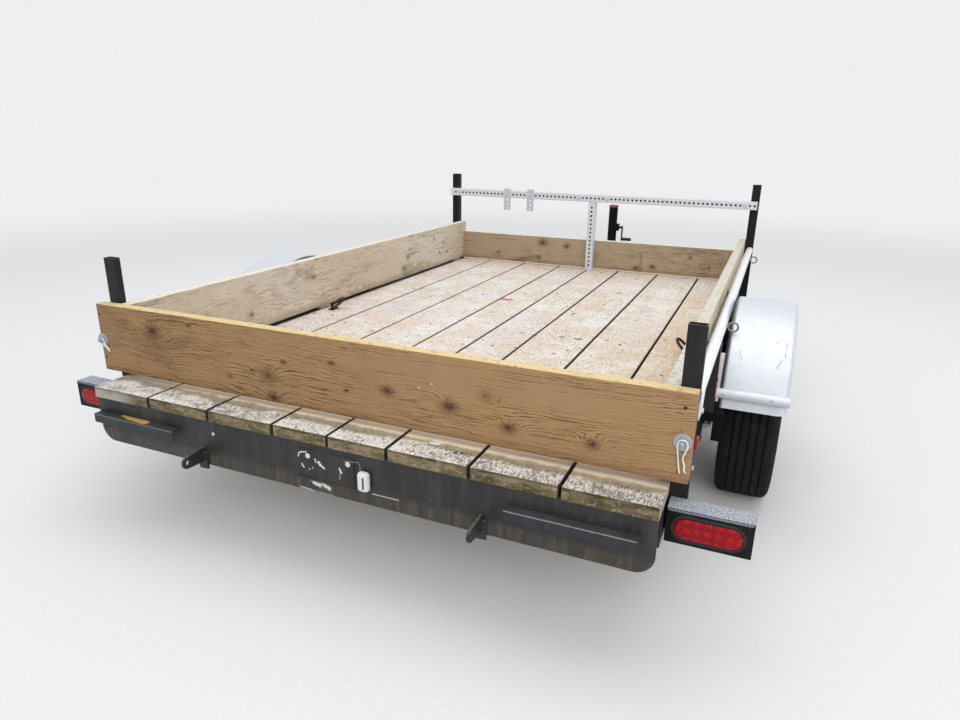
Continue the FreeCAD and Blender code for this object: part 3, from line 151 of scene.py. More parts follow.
class Tree:
    """A material's node tree, with the place and the surface reached so far."""

    def __init__(self, name: str) -> None:
        """Start an empty material of that name, at object coordinates."""
        self.material = bpy.data.materials.new(name)
        self.material.use_nodes = True
        self.nodes = self.material.node_tree.nodes
        self.links = self.material.node_tree.links
        self.nodes.clear()
        made = self.nodes.new("ShaderNodeTexCoord")
        self.home, self.facing = Signal(self, made.outputs["Object"]), Signal(self, made.outputs["Normal"])
        self.place = self.home
        self.colour: Union[Signal, Colour] = (0.0, 0.0, 0.0)
        self.height: Number = 0.5
        self.rough: Number = 0.5

    def node(self, kind: str, settings: Optional[dict] = None, inputs: Optional[dict] = None,
             output: Union[int, str] = 0) -> Signal:
        """Add a node.

        Args:
            kind: the node's type name.
            settings: attributes, which are set first.
            inputs: values or signals by socket name or number.
            output: the socket that is returned.

        Returns:
            The chosen output as a signal.
        """
        made = self.nodes.new(kind)
        for key, value in (settings or {}).items():
            setattr(made, key, value)
        for key, value in (inputs or {}).items():
            if isinstance(value, Signal):
                self.links.new(value.socket, made.inputs[key])
            else:
                made.inputs[key].default_value = value
        return Signal(self, made.outputs[output])

    def math(self, operation: str, first: Number, second: Number = 0.0) -> Signal:
        """One Math node with that operation."""
        return self.node("ShaderNodeMath", {"operation": operation}, {0: first, 1: second})

    def vector(self, operation: str, first: Signal, second: Union[Signal, Point],
               output: str = "Vector") -> Signal:
        """One Vector Math node with that operation."""
        return self.node("ShaderNodeVectorMath", {"operation": operation}, {0: first, 1: second}, output)

    def attribute(self, name: str, output: str = "Vector") -> Signal:
        """A named attribute of the mesh."""
        return self.node("ShaderNodeAttribute", {"attribute_name": name}, output=output)

    def split(self, vector: Signal) -> tuple[Signal, Signal, Signal]:
        """The three parts of a vector."""
        made = self.nodes.new("ShaderNodeSeparateXYZ")
        self.links.new(vector.socket, made.inputs[0])
        return tuple(Signal(self, made.outputs[k]) for k in range(3))

    def join(self, x: Number, y: Number, z: Number) -> Signal:
        """A vector of three parts."""
        return self.node("ShaderNodeCombineXYZ", None, {0: x, 1: y, 2: z})

    def noise(self, scale: Union[float, Point], detail: float = 3.0, rough: float = 0.5, warp: float = 0.0,
              place: Optional[Signal] = None) -> Signal:
        """Noise about one half.

        Args:
            scale: waves a metre, one number or one for each axis.
            detail: octaves.
            rough: how strong the finer octaves are.
            warp: how far the noise is bent by itself.
            place: where, if not at the tree's place.

        Returns:
            The noise value.
        """
        where = self.place if place is None else place
        if isinstance(scale, tuple):
            where, scale = self.vector("MULTIPLY", where, scale), 1.0
        return self.node("ShaderNodeTexNoise", None, {"Vector": where, "Scale": scale, "Detail": detail,
                                                      "Roughness": rough, "Distortion": warp})

    def cells(self, scale: Point) -> Signal:
        """Distance to the nearest of scattered points, with a scale on each axis."""
        return self.node("ShaderNodeTexVoronoi", None, {"Vector": self.vector("MULTIPLY", self.place, scale),
                                                        "Scale": 1.0}, "Distance")

    def mix(self, share: Number, first: Union[Signal, Colour], second: Union[Signal, Colour]) -> Signal:
        """Colour between two colours, by the second one's share."""
        ends = [c if isinstance(c, Signal) else (*c, 1.0) for c in (first, second)]
        return self.node("ShaderNodeMix", {"data_type": "RGBA", "clamp_factor": True},
                         {0: share, 6: ends[0], 7: ends[1]}, 2)

    def shade(self, colour: Signal, factor: Number) -> Signal:
        """Colour times a grey factor."""
        return self.vector("MULTIPLY", colour, self.join(factor, factor, factor))

    def lay(self, share: Number, colour: Union[Signal, Colour]) -> None:
        """Cover a share of the surface with a colour."""
        self.colour = self.mix(share, self.colour, colour)

    def dim(self, factor: Number) -> None:
        """Multiply the surface's colour by a grey factor."""
        self.colour = self.shade(self.colour, factor)

    def mark(self, marks: Sequence["Mark"], first: Signal, second: Signal, noise: Signal,
             where: Number = 1.0) -> None:
        """Lay marks on the surface, the last on top.

        Args:
            marks: the marks.
            first: first place on the marked face.
            second: second place on it.
            noise: noise about one half that frays every mark.
            where: share of the marks that shows, such as on faces that look one way.
        """
        for mark in marks:
            self.lay(mark.cover(first, second, noise) * where, mark.shade)

    def finish(self, depth: float, strength: float = 1.0, metal: Number = 0.0,
               **fixed: float) -> bpy.types.Material:
        """Close the tree with a surface shader of its colour, roughness and height.

        Args:
            depth: metres that a height of 1 stands proud.
            strength: share of the bump that shows.
            metal: metallic share.
            fixed: other sockets, by name with spaces as underscores, the same all over.

        Returns:
            The material.
        """
        relief = {"Strength": strength, "Distance": depth, "Height": self.height}
        bump = self.node("ShaderNodeBump", None, relief)
        inputs = {"Base Color": self.colour, "Roughness": self.rough, "Metallic": metal, "Normal": bump}
        inputs.update({key.replace("_", " "): value for key, value in fixed.items()})
        self.show(self.node("ShaderNodeBsdfPrincipled", None, inputs))
        return self.material

    def show(self, shader: Signal) -> None:
        """Link a shader to the material's output."""
        made = self.nodes.new("ShaderNodeOutputMaterial")
        self.links.new(shader.socket, made.inputs["Surface"])


@dataclass(frozen=True)
class Knot:
    """A knot in a board: place along and across it, radius, how far the grain swirls, and darkness."""

    along: float
    across: float
    radius: float
    swirl: float = 0.03
    dark: float = 1.0

    def gap(self, tree: Tree, along: Signal, across: Signal, squeeze: float) -> Signal:
        """Distance from the knot, which is drawn out along the board."""
        place = tree.join(along * squeeze, across, 0.0)
        return tree.vector("DISTANCE", place, (self.along * squeeze, self.across, 0.0), "Value")


@dataclass(frozen=True)
class Mark:
    """A mark on a flat face: a line between two places there, its half width, shade and raggedness."""

    start: Spot
    end: Spot
    half: float
    shade: Colour = (0.74, 0.76, 0.74)
    ragged: float = 0.5
    strength: float = 1.0

    def cover(self, first: Signal, second: Signal, noise: Signal) -> Signal:
        """Share of the mark at a place: nearness to its line, with a ragged edge.

        Args:
            first: first place on the face.
            second: second place on it.
            noise: noise about one half.

        Returns:
            The mark's strength on it and zero off it.
        """
        run = (self.end[0] - self.start[0], self.end[1] - self.start[1])
        square = max(run[0] ** 2 + run[1] ** 2, 1e-9)
        share = (first - self.start[0]) * (run[0] / square) + (second - self.start[1]) * (run[1] / square)
        tree = share.tree
        share = tree.math("MINIMUM", tree.math("MAXIMUM", share, 0.0), 1.0)
        off_first = first - self.start[0] - share * run[0]
        off_second = second - self.start[1] - share * run[1]
        away = (off_first * off_first + off_second * off_second) ** 0.5
        gap = away + (noise - 0.5) * (self.half * 3.0 * self.ragged)
        return gap.fall(self.half * 0.75, self.half * 1.15) * self.strength


def track(places: Sequence[Spot], *look: Union[float, Colour]) -> tuple[Mark, ...]:
    """Marks of one look that join places one after the other."""
    return tuple(Mark(first, second, *look) for first, second in zip(places, places[1:]))


@dataclass(frozen=True)
class Wood:
    """Sawn softwood: growth rings about a wandering heart, knots, fibres, checks and weathering."""

    name: str
    light: Colour
    dark: Colour
    grey: Colour
    knot: Colour = (0.085, 0.042, 0.02)
    line: float = 0.55
    ring: float = 0.0075
    heart: float = 0.075
    offset: float = 0.0
    sway: float = 0.16
    wave: float = 0.02
    greying: float = 0.5
    checks: float = 0.5
    depth: float = 0.0006
    dashes: float = 0.35
    uneven: float = 1.6
    knots: tuple[Knot, ...] = ()
    marks: tuple[Mark, ...] = ()

    def rings(self, tree: Tree, spot: Sequence[Signal], seed: Signal) -> Signal:
        """Ring count: distance from a heart that wanders along the board, over the ring width.

        Args:
            tree: the material's tree.
            spot: place along, across and through the board.
            seed: the board's own number.

        Returns:
            The number of rings out from the heart.
        """
        along, across, through = spot
        drift = tree.noise(1.0, 2.0, place=tree.join(along * 0.8, seed * 7.1, 0.0)) - 0.5
        rise = tree.noise(1.0, 2.0, place=tree.join(along * 0.7, seed * 3.3, 4.0)) - 0.5
        side = across + drift * self.sway + self.offset
        deep = through + self.heart + rise * (self.sway * 0.6)
        fine = tree.join(along * 6.0, across * 18.0, through * 18.0 + seed)
        wave = tree.noise(1.0, 4.0, 0.55, place=fine) - 0.5
        total = (side * side + deep * deep) ** 0.5 + wave * self.wave
        for knot in self.knots:
            ratio = knot.gap(tree, along, across, 0.65) / (knot.radius * 2.2)
            total = total + (0.0 - ratio * ratio).exponent() * knot.swirl
        return total / self.ring

    def weather(self, tree: Tree) -> None:
        """Further weathering by place; plain boards have none."""

    def build(self) -> bpy.types.Material:
        """Make the material from the mesh's wood and seed attributes."""
        tree = Tree(self.name)
        seed = tree.attribute("seed", "Fac")
        along, across, through = tree.split(tree.attribute("wood"))
        tree.place = tree.join(along + seed * 3.7, across, through)
        count = self.rings(tree, (along, across, through), seed)
        grown = tree.join(count * 0.42, along * 1.3, seed)
        shift = (tree.noise(1.0, 2.0, 0.6, place=grown) - 0.5) * self.uneven
        phase, fine_phase = (count + shift).fraction(), (count * 2.63 + shift).fraction()
        broken = tree.noise((13.0, 120.0, 120.0), 3.0, 0.65).ramp(0.36, 0.62)
        late = phase.ramp(0.35, 0.88) * phase.fall(0.92, 1.0) * (0.3 + broken * 0.95)
        thin = fine_phase.ramp(0.25, 0.85) * fine_phase.fall(0.88, 1.0)
        tone = tree.noise((2.2, 9.0, 9.0), 4.0, 0.6)
        fibre = tree.noise((16.0, 380.0, 380.0), 4.0, 0.7)
        patch = tree.noise((1.3, 4.0, 6.0), 5.0, 0.65)
        bars = tree.noise((11.0, 1.6, 3.0), 4.0, 0.6)
        tree.colour = tree.mix((late * tone.ramp(0.25, 0.7) + thin * 0.4) * self.line, self.light, self.dark)
        tree.dim(0.58 + tone * 0.38 + fibre * 0.34 + bars * 0.16)
        tree.lay(patch.ramp(0.42, 0.68) * self.greying, self.grey)
        split = tree.noise((4.0, 150.0, 150.0), 2.0).ramp(0.64, 0.7) * patch.ramp(0.36, 0.55) * self.checks
        tree.dim(1.0 - split * 0.75)
        dash = tree.noise((13.0, 299.0, 299.0), 4.0, 0.62).ramp(0.575, 0.66)
        dash = dash * tone.ramp(0.35, 0.6) * self.dashes
        tree.dim(1.0 - dash * 0.74)
        tree.height = 0.6 - late * 0.25 + fibre * 0.35 - split - dash * 0.5
        fray = (tree.noise(110.0, 4.0, 0.75) - 0.5) * 2.2
        for knot in self.knots:
            gap = (knot.gap(tree, along, across, 0.72) / knot.radius) + fray
            core = gap.fall(0.35, 0.85)
            rim = gap.ramp(0.7, 1.0) * gap.fall(1.05, 1.35)
            tree.lay(gap.fall(0.6, 2.4) * 0.55 * knot.dark, self.dark)
            tree.lay((core * 0.9 + rim * 0.2) * knot.dark, self.knot)
            tree.height = tree.height - core * 0.3
        tree.rough = 0.78 - late * 0.08 + fibre * 0.1
        self.weather(tree)
        return tree.finish(self.depth, Specular_IOR_Level=0.25)


@dataclass(frozen=True)
class BoardWood(Wood):
    """Board on edge: its upper edge bleached and lightened by a painted highlight, stains in drifts, painted
    shade at its foot, and marks on its rear face.
    """

    sway: float = 0.1
    edge_bleach_and_highlight: Colour = (0.64, 0.61, 0.55)
    foot: float = 0.53
    moss: float = 0.0
    stains: float = 0.3
    fade: float = 0.0
    foot_highlight: float = 0.0
    mark_axis: Axis = Axis.X

    def weather(self, tree: Tree) -> None:
        """Darken drifts, paint shade at the foot, lay the marks, paint a highlight on faces that look up, and
        a highlight line at the foot on boards that have one.
        """
        tree.place = tree.home
        spot = tree.split(tree.home)
        level = spot[2]
        up = tree.split(tree.facing)[2].ramp(0.45, 0.85)
        speck = tree.noise(55.0, 5.0, 0.7)
        tree.dim(1.0 - tree.noise((3.1, 3.1, 7.0), 6.0, 0.72).ramp(0.5, 0.72) * self.stains)
        tree.dim(1.0 - speck.ramp(0.58, 0.74) * self.stains * 0.6)
        tree.dim(1.0 - spot[0].fall(-0.95, 0.6) * self.fade)
        tree.mark(self.marks, spot[self.mark_axis.value], level, tree.noise(80.0, 4.0, 0.7), 1.0 - up)
        # Partly bleached wood, partly painted highlight: faces that look up are covered in a light edge
        # colour with dark specks.
        worn = tree.shade(tree.mix(speck.ramp(0.52, 0.75), self.edge_bleach_and_highlight, self.dark), 0.85 + speck * 0.35)
        tree.lay(up * 0.9, worn)
        tree.lay(tree.noise(46.0, 5.0, 0.7).ramp(0.5, 0.62) * up * self.moss, (0.2, 0.2, 0.1))
        # Painted shade: darker towards the board's foot, where it meets the deck.
        tree.dim(1.0 - (level + speck * 0.02).fall(self.foot, self.foot + 0.05) * 0.35)
        # Painted highlight: a cream line just above the board's foot.
        tree.lay(level.fall(self.foot + 0.002, self.foot + 0.005) * self.foot_highlight, (0.86, 0.8, 0.66))


@dataclass(frozen=True)
class PlankWood(Wood):
    """Deck planks: bleached and worn underfoot, with a wet mossy ledge behind the tailgate; painted shade in
    the gaps and under the side boards, painted light behind the tailgate.
    """

    ledge: float = -1.7931
    rear: float = -1.899
    top: float = 0.514
    half: float = 0.9144
    moss: Colour = (0.2, 0.165, 0.07)

    def deck(self, tree: Tree) -> None:
        """Bleach, blush, specks and pits of the deck worn underfoot, and painted shadow along its outer edges
        under the side boards.
        """
        x, y, _ = tree.split(tree.home)
        dust = tree.noise(6.0, 7.0, 0.72)
        blot = tree.noise((60.0, 26.0, 60.0), 5.0, 0.75)
        grit = tree.noise((230.0, 95.0, 230.0), 4.0, 0.75)
        crumbs = tree.noise((255.0, 153.0, 255.0), 3.0, 0.7)
        tree.lay(tree.noise(2.3, 5.0, 0.6).ramp(0.46, 0.62) * 0.5, (0.78, 0.62, 0.53))
        tree.lay(dust.ramp(0.44, 0.6) * 0.65, (0.88, 0.87, 0.86))
        tree.lay(tree.noise(3.1).ramp(0.5, 0.64) * 0.45, (0.72, 0.66, 0.68))
        gold = tree.noise((1.6, 0.7, 1.0), 4.0, 0.6).ramp(0.46, 0.6) * (0.25 + x.ramp(0.45, 0.9) * 0.75)
        tree.lay(gold * 0.6, (0.68, 0.49, 0.26))
        worn = tree.noise(1.9, 4.0, 0.6).ramp(0.44, 0.62)
        tree.lay(y.ramp(0.55, 0.93) * dust.ramp(0.35, 0.62) * 0.45, (0.42, 0.31, 0.2))
        tree.dim(1.0 - blot.ramp(0.52, 0.7) * 0.42)
        tree.lay(grit.fall(0.36, 0.46) * 0.55, (0.93, 0.92, 0.9))
        tree.lay(crumbs.ramp(0.56, 0.64) * 0.55, (0.5, 0.27, 0.18))
        tree.lay(grit.ramp(0.53, 0.6) * (0.62 + worn * 0.3), (0.21, 0.15, 0.13))
        drop = tree.cells((17.0, 10.0, 17.0)).fall(0.07, 0.15) * tree.noise(1.7, 2.0).ramp(0.42, 0.52)
        tree.lay(drop * 0.85, (0.06, 0.04, 0.03))
        # Painted shadow: near black under the side boards and just inside them.
        tree.lay(abs(x).ramp(self.half - 0.052, self.half - 0.034) * 0.95, (0.018, 0.013, 0.01))
        tree.height = tree.height + blot * 0.4 - grit.ramp(0.5, 0.65) * 0.3 - drop * 0.4

    def behind(self, tree: Tree) -> None:
        """Strips of the ledge behind the tailgate: a clean cream strip with painted light near and under the
        gate, mossy, then bleached and pitted.
        """
        x, y, _ = tree.split(tree.home)
        wander = (tree.noise((17.0, 4.0, 4.0), 5.0, 0.65) - 0.5) * 0.04
        shifted = y + wander + (x - 0.45) * 0.01
        start = self.ledge - 0.005
        back = y.fall(self.ledge + 0.04, self.ledge + 0.05)
        outer = shifted.fall(start - 0.038, start - 0.018) * back
        reach = tree.noise((6.8, 1.7, 1.7), 3.0, 0.6).ramp(0.36, 0.56) * 0.02
        band = (shifted + reach).ramp(start - 0.034, start - 0.012)
        band = band * shifted.fall(start - 0.014, start + 0.005)
        speck = tree.noise(120.0, 5.0, 0.75)
        # Partly the strip's own cream colour, partly painted light: it is made brighter near and under the
        # tailgate, where shade falls.
        tree.lay(back * 0.85, (0.84, 0.77, 0.68))
        tree.lay(back * x.ramp(-0.76, -0.68) * 0.97, (1.0, 0.87, 0.67))
        tree.dim(1.0 - speck.ramp(0.57, 0.75) * back * 0.2)
        tree.lay(tree.noise((5.0, 30.0, 5.0), 4.0, 0.6).ramp(0.52, 0.66) * back * 0.35, (0.8, 0.58, 0.42))
        tree.lay(outer * 0.9, (0.78, 0.735, 0.69))
        tree.lay(outer * speck.ramp(0.45, 0.6) * 0.7, (0.95, 0.93, 0.91))
        tree.dim(1.0 - x.ramp(0.25, 0.85) * back * 0.2)
        tree.lay(band * (0.2 + speck * 1.05) * back, self.moss)
        crowd = tree.noise((7.0, 18.0, 7.0), 3.0, 0.6) - 0.5
        crowd = crowd + y.fall(self.rear, self.ledge) * 0.1 + x.ramp(0.2, 0.9) * 0.06
        pitted = (tree.noise((330.0, 75.0, 330.0), 4.0, 0.65) + crowd * 0.35).ramp(0.52, 0.6) * outer
        gouged = (tree.noise((95.0, 24.0, 95.0), 4.0, 0.65) + crowd * 0.25).ramp(0.61, 0.67) * outer
        tree.lay(pitted * 0.8, (0.11, 0.085, 0.065))
        tree.lay(gouged * 0.65, (0.16, 0.13, 0.085))
        self.ends(tree, wander)
        tree.height = tree.height - (pitted + gouged) * 0.8

    def ends(self, tree: Tree, wander: Signal) -> None:
        """Wet dark plank ends at the rear, mossy and cracked, paler at the far left."""
        x, y, z = tree.split(tree.home)
        wet = tree.noise((11.0, 11.0, 30.0), 6.0, 0.7)
        brown = tree.mix(wet.ramp(0.4, 0.62), (0.32, 0.24, 0.15), (0.1, 0.078, 0.038))
        green = tree.noise((16.0, 9.0, 22.0), 5.0, 0.7).ramp(0.5, 0.6) * 0.75
        brown = tree.mix(green, brown, (0.15, 0.135, 0.035))
        crack = tree.noise((70.0, 20.0, 160.0), 3.0, 0.6).ramp(0.58, 0.66) * 0.6
        brown = tree.mix(crack, brown, (0.56, 0.5, 0.4))
        pale = (x + wander * 2.0).fall(-0.82, -0.72) * 0.8
        brown = tree.mix(pale * wet.ramp(0.3, 0.55), brown, (0.56, 0.55, 0.5))
        brown = tree.shade(brown, 1.0 - z.ramp(self.top - 0.012, self.top - 0.003) * 0.45)
        end = (0.0 - tree.split(tree.facing)[1]).ramp(0.45, 0.8) * y.fall(self.rear + 0.02, self.rear + 0.03)
        tree.lay(end, brown)

    def weather(self, tree: Tree) -> None:
        """Weather the deck and the ledge by place, paint shade on the planks' long side faces in the gaps and
        lay the marks.
        """
        tree.place = tree.home
        x, y, _ = tree.split(tree.home)
        self.deck(tree)
        self.behind(tree)
        # Painted shade: the planks' side faces in the gaps go dark, near black behind the tailgate.
        side = abs(tree.split(tree.facing)[0]).ramp(0.35, 0.85) * abs(x).fall(self.half - 0.004, self.half)
        gap_side_shade = tree.mix(x.ramp(-0.45, 0.35), (0.27, 0.17, 0.12), (0.1, 0.05, 0.034))
        gap_shade_colour = tree.mix(y.ramp(self.ledge, self.ledge + 0.03), (0.03, 0.022, 0.016), gap_side_shade)
        tree.lay(side * 0.95, gap_shade_colour)
        tree.mark(self.marks, x, y, tree.noise(90.0, 4.0, 0.7))


@dataclass(frozen=True)
class Paint:
    """Brushed enamel on steel: chips to primer or rust, dust on faces that look up, and streaks of dirt."""

    name: str
    colour: Colour
    chips: float = 0.5
    rusting: float = 0.3
    dusting: float = 0.5
    dust: Colour = (0.24, 0.23, 0.21)
    film: float = 0.1
    rough: float = 0.42
    shine: float = 0.35
    chip: Colour = (0.26, 0.25, 0.24)
    rust: Colour = (0.1, 0.042, 0.022)
    marks: tuple[Mark, ...] = ()
    top_marks: tuple[Mark, ...] = ()
    dirt_below: float = 0.0

    def dirt(self, tree: Tree, level: Signal, film: Signal, fine: Signal) -> None:
        """Streaked dirt over the lower part of the rear face."""
        streak = tree.noise((60.0, 1.0, 4.5), 5.0, 0.65)
        grime = (level + (film - 0.5) * 0.06).fall(self.dirt_below - 0.02, self.dirt_below + 0.01)
        tree.lay(grime * (0.25 + streak.ramp(0.42, 0.66) * 0.55), (0.098, 0.08, 0.058))
        tree.lay(streak.ramp(0.56, 0.7) * 0.25, (0.1, 0.084, 0.062))
        tree.lay(grime * fine.ramp(0.62, 0.72) * 0.5, (0.3, 0.28, 0.25))

    def build(self) -> bpy.types.Material:
        """Make the material on object coordinates."""
        tree = Tree(self.name)
        x, y, level = tree.split(tree.home)
        _, back, rise = tree.split(tree.facing)
        up = rise.ramp(0.4, 0.95)
        broad = tree.noise(4.0, 4.0, 0.6)
        fine = tree.noise(130.0, 4.0, 0.6)
        film = tree.noise((24.0, 24.0, 5.0), 4.0, 0.65)
        tree.colour = tree.mix(film.ramp(0.4, 0.75) * self.film, self.colour, self.dust)
        chip = tree.noise(60.0, 6.0, 0.72, 0.4).ramp(0.655, 0.675) * broad.ramp(0.45, 0.6) * self.chips
        scratch = tree.noise((9.0, 9.0, 190.0), 3.0, 0.6).ramp(0.7, 0.73) * self.chips
        rust_area = tree.noise(9.0, 6.0, 0.7).ramp(0.6, 0.7) * self.rusting
        tree.dim(0.8 + broad * 0.4)
        tree.lay(rust_area, self.rust)
        tree.lay(scratch * 0.35, self.chip)
        tree.lay(chip * 0.8, self.chip)
        settled = up * self.dusting * (0.25 + tree.noise(260.0, 3.0, 0.7).ramp(0.4, 0.62) * 0.75)
        tree.lay(settled, self.dust)
        if self.dirt_below:
            self.dirt(tree, level, film, fine)
        frayed = tree.noise(230.0, 5.0, 0.75)
        tree.mark(self.marks, x, level, frayed, (0.0 - back).ramp(0.4, 0.8))
        tree.mark(self.top_marks, x, y, frayed, up)
        tree.height = 0.5 + fine * 0.12 - chip * 0.35
        tree.rough = self.rough + settled * 0.35 + rust_area * 0.3 + fine * 0.08
        return tree.finish(0.0005, Specular_IOR_Level=self.shine)


@dataclass(frozen=True)
class SilverCoat:
    """Sprayed silver on pressed steel: a fine flake, grime in drifts, dark scratches at given places, and a
    painted shadow band along the inner edge where asked.
    """

    name: str
    colour: Colour
    spotted: float = 0.5
    grime: Colour = (0.3, 0.29, 0.27)
    marks: tuple[Mark, ...] = ()
    shadow_to: float = 0.0

    def build(self) -> bpy.types.Material:
        """Make the material on object coordinates."""
        tree = Tree(self.name)
        x, _, z = tree.split(tree.home)
        broad = tree.noise(3.0, 4.0, 0.6)
        mottle = tree.noise(34.0, 6.0, 0.7)
        fleck = tree.noise(160.0, 3.0, 0.6).ramp(0.68, 0.74) * mottle.ramp(0.4, 0.62)
        tree.colour = tree.mix(mottle.ramp(0.45, 0.75) * 0.3, self.colour, (0.5, 0.51, 0.53))
        tree.dim(0.9 + broad * 0.16 + tree.noise(900.0, 2.0) * 0.06)
        tree.lay(fleck * self.spotted, self.grime)
        back = 0.0 - tree.split(tree.facing)[1]
        tree.mark(self.marks, x, z, tree.noise((160.0, 90.0, 60.0), 4.0, 0.75), back.ramp(0.05, 0.25))
        # Painted shadow: a near-black band along the inner edge, out to the given distance from the trailer's
        # middle.
        if self.shadow_to:
            edge = (abs(x) + (mottle - 0.5) * 0.008).fall(self.shadow_to - 0.008, self.shadow_to + 0.006)
            tree.lay(edge * 0.9, (0.028, 0.027, 0.026))
        tree.rough = 0.36 + mottle * 0.22 + fleck * 0.2
        tree.height = 0.5 + broad * 0.3 + mottle * 0.1
        return tree.finish(0.0012, 0.5, 0.35)


@dataclass(frozen=True)
class Zinc:
    """Zinc plating or galvanising: faint spangle, white bloom, worn spots, and painted shade inside tubes and
    holes by attribute.
    """

    name: str
    colour: Colour
    rough: float = 0.42
    metal: float = 0.75
    bloom: float = 0.4
    wear: float = 0.35

    def build(self) -> bpy.types.Material:
        """Make the material on object coordinates; the inner attribute is 1 inside tubes and holes, where
        shade is painted.
        """
        tree = Tree(self.name)
        inner = tree.attribute("inner", "Fac")
        cloud = tree.noise(28.0, 6.0, 0.7)
        tree.height = tree.noise(420.0)
        tree.colour = tree.mix(cloud.ramp(0.45, 0.7) * self.bloom, self.colour, (0.72, 0.72, 0.71))
        tree.dim(0.9 + tree.cells((150.0, 150.0, 150.0)) * 0.14 + tree.height * 0.06)
        tree.lay(tree.noise(70.0, 5.0, 0.7).ramp(0.64, 0.72) * self.wear, (0.22, 0.19, 0.16))
        # Painted shade: insides of tubes and holes near black, rougher and not metallic.
        tree.lay(inner * 0.97, (0.008, 0.008, 0.009))
        tree.rough = self.rough + cloud * 0.2 + inner * 0.3
        return tree.finish(0.0002, 1.0, self.metal * (1.0 - inner))


@dataclass(frozen=True)
class RustyIron:
    """Dark iron gone brown with rust."""

    name: str
    colour: Colour = (0.036, 0.023, 0.017)

    def build(self) -> bpy.types.Material:
        """Make the material on object coordinates."""
        tree = Tree(self.name)
        cloud = tree.noise(60.0, 6.0, 0.7)
        grain = tree.noise(500.0, 4.0, 0.6)
        tree.colour = tree.mix(cloud.ramp(0.42, 0.65), self.colour, (0.13, 0.055, 0.028))
        tree.dim(0.7 + grain * 0.6)
        tree.height = grain + cloud
        tree.rough = 0.66 + grain * 0.2
        return tree.finish(0.0004, 1.0, 0.25)


@dataclass(frozen=True)
class Rubber:
    """Black moulded rubber with dust in its pores."""

    name: str
    colour: Colour
    dust: Colour
    dusting: float
    shine: float

    def build(self) -> bpy.types.Material:
        """Make the material on object coordinates."""
        tree = Tree(self.name)
        cloud = tree.noise(22.0, 6.0, 0.7)
        grain = tree.noise(330.0, 4.0, 0.7)
        grey = cloud.ramp(0.45, 0.72) * self.dusting * (0.2 + grain.ramp(0.45, 0.7) * 0.9)
        tree.colour = tree.mix(grey, self.colour, self.dust)
        tree.dim(0.7 + grain * 0.6)
        tree.height = grain
        tree.rough = 0.6 + cloud * 0.3
        return tree.finish(0.0006, Specular_IOR_Level=self.shine)


@dataclass(frozen=True)
class LensPlastic:
    """Red lamp plastic: fine prisms and faint bulb domes in rows, from the piece's own lamp attribute."""

    name: str
    colour: Colour = (0.56, 0.0012, 0.012)
    deep: Colour = (0.12, 0.0, 0.003)
    bright: Colour = (0.8, 0.005, 0.022)
    pitch: float = 0.0245

    def build(self) -> bpy.types.Material:
        """Make the material: the lamp attribute holds the place from the lens's middle, in metres."""
        tree = Tree(self.name)
        tree.place = tree.attribute("lamp")
        prism = tree.cells((210.0, 210.0, 210.0))
        row, rank = ((part / self.pitch + 0.5).fraction() for part in tree.split(tree.place)[:2])
        domes = tree.vector("DISTANCE", tree.join(row, rank, 0.0), (0.5, 0.5, 0.0), "Value")
        dome = domes.fall(0.2, 0.42)
        tree.colour = tree.mix(prism.ramp(0.05, 0.6) * 0.75, self.colour, self.deep)
        tree.lay(dome * 0.25, self.bright)
        tree.lay(domes.ramp(0.32, 0.42) * domes.fall(0.42, 0.52) * 0.45, self.deep)
        tree.lay(tree.noise(95.0, 4.0, 0.7).ramp(0.52, 0.66) * 0.3, self.bright)
        tree.height = dome * 0.5 + prism * 0.4
        tree.rough = 0.24 + prism * 0.12
        return tree.finish(0.001, Specular_IOR_Level=0.18, Coat_Weight=0.15, Coat_Roughness=0.1)


@dataclass(frozen=True)
class Moulded:
    """Plain moulded plastic, slightly dirty."""

    name: str
    colour: Colour
    rough: float = 0.5
    grime: float = 0.4

    def build(self) -> bpy.types.Material:
        """Make the material on object coordinates."""
        tree = Tree(self.name)
        cloud = tree.noise(70.0, 6.0, 0.7)
        dull = tuple(c * 0.35 for c in self.colour)
        tree.colour = tree.mix(cloud.ramp(0.5, 0.72) * self.grime, self.colour, dull)
        tree.height = tree.noise(600.0, 2.0)
        tree.rough = self.rough + cloud * 0.2
        return tree.finish(0.0001)


WHITE = (0.72, 0.74, 0.73)
FADED = (0.34, 0.35, 0.36)
INK = (0.045, 0.042, 0.042)
STAIN = (0.075, 0.05, 0.036)
CREAM = (0.8, 0.76, 0.68)
MUSTARD = (0.62, 0.42, 0.09)
GREY_LIGHT = (0.66, 0.555, 0.425)
GREY_DARK = (0.34, 0.255, 0.175)

DECK_MARKS = (
    Mark((-0.172, -0.127), (-0.145, -0.127), 0.026, (0.45, 0.15, 0.07), 0.35, 0.8),
    Mark((0.183, -0.687), (0.197, -0.687), 0.007, STAIN, 0.8, 0.9),
    Mark((0.3, -0.665), (0.314, -0.662), 0.008, STAIN, 0.8, 0.9),
    Mark((0.368, -0.664), (0.384, -0.66), 0.01, STAIN, 0.8, 0.9),
    Mark((0.236, -0.275), (0.242, -0.255), 0.009, STAIN, 0.8, 0.7),
    Mark((0.33, 0.285), (0.342, 0.3), 0.01, STAIN, 0.8, 0.7),
    Mark((0.128, -0.684), (0.14, -0.678), 0.006, STAIN, 0.8, 0.8),
    Mark((0.285, -1.812), (0.306, -1.812), 0.0065, (0.92, 0.94, 0.98), 0.9, 0.9),
    Mark((0.372, -1.838), (0.386, -1.838), 0.0085, STAIN, 0.9, 0.8),
    Mark((0.38, -1.838), (0.382, -1.838), 0.0035, (0.8, 0.78, 0.74), 0.9, 0.9))
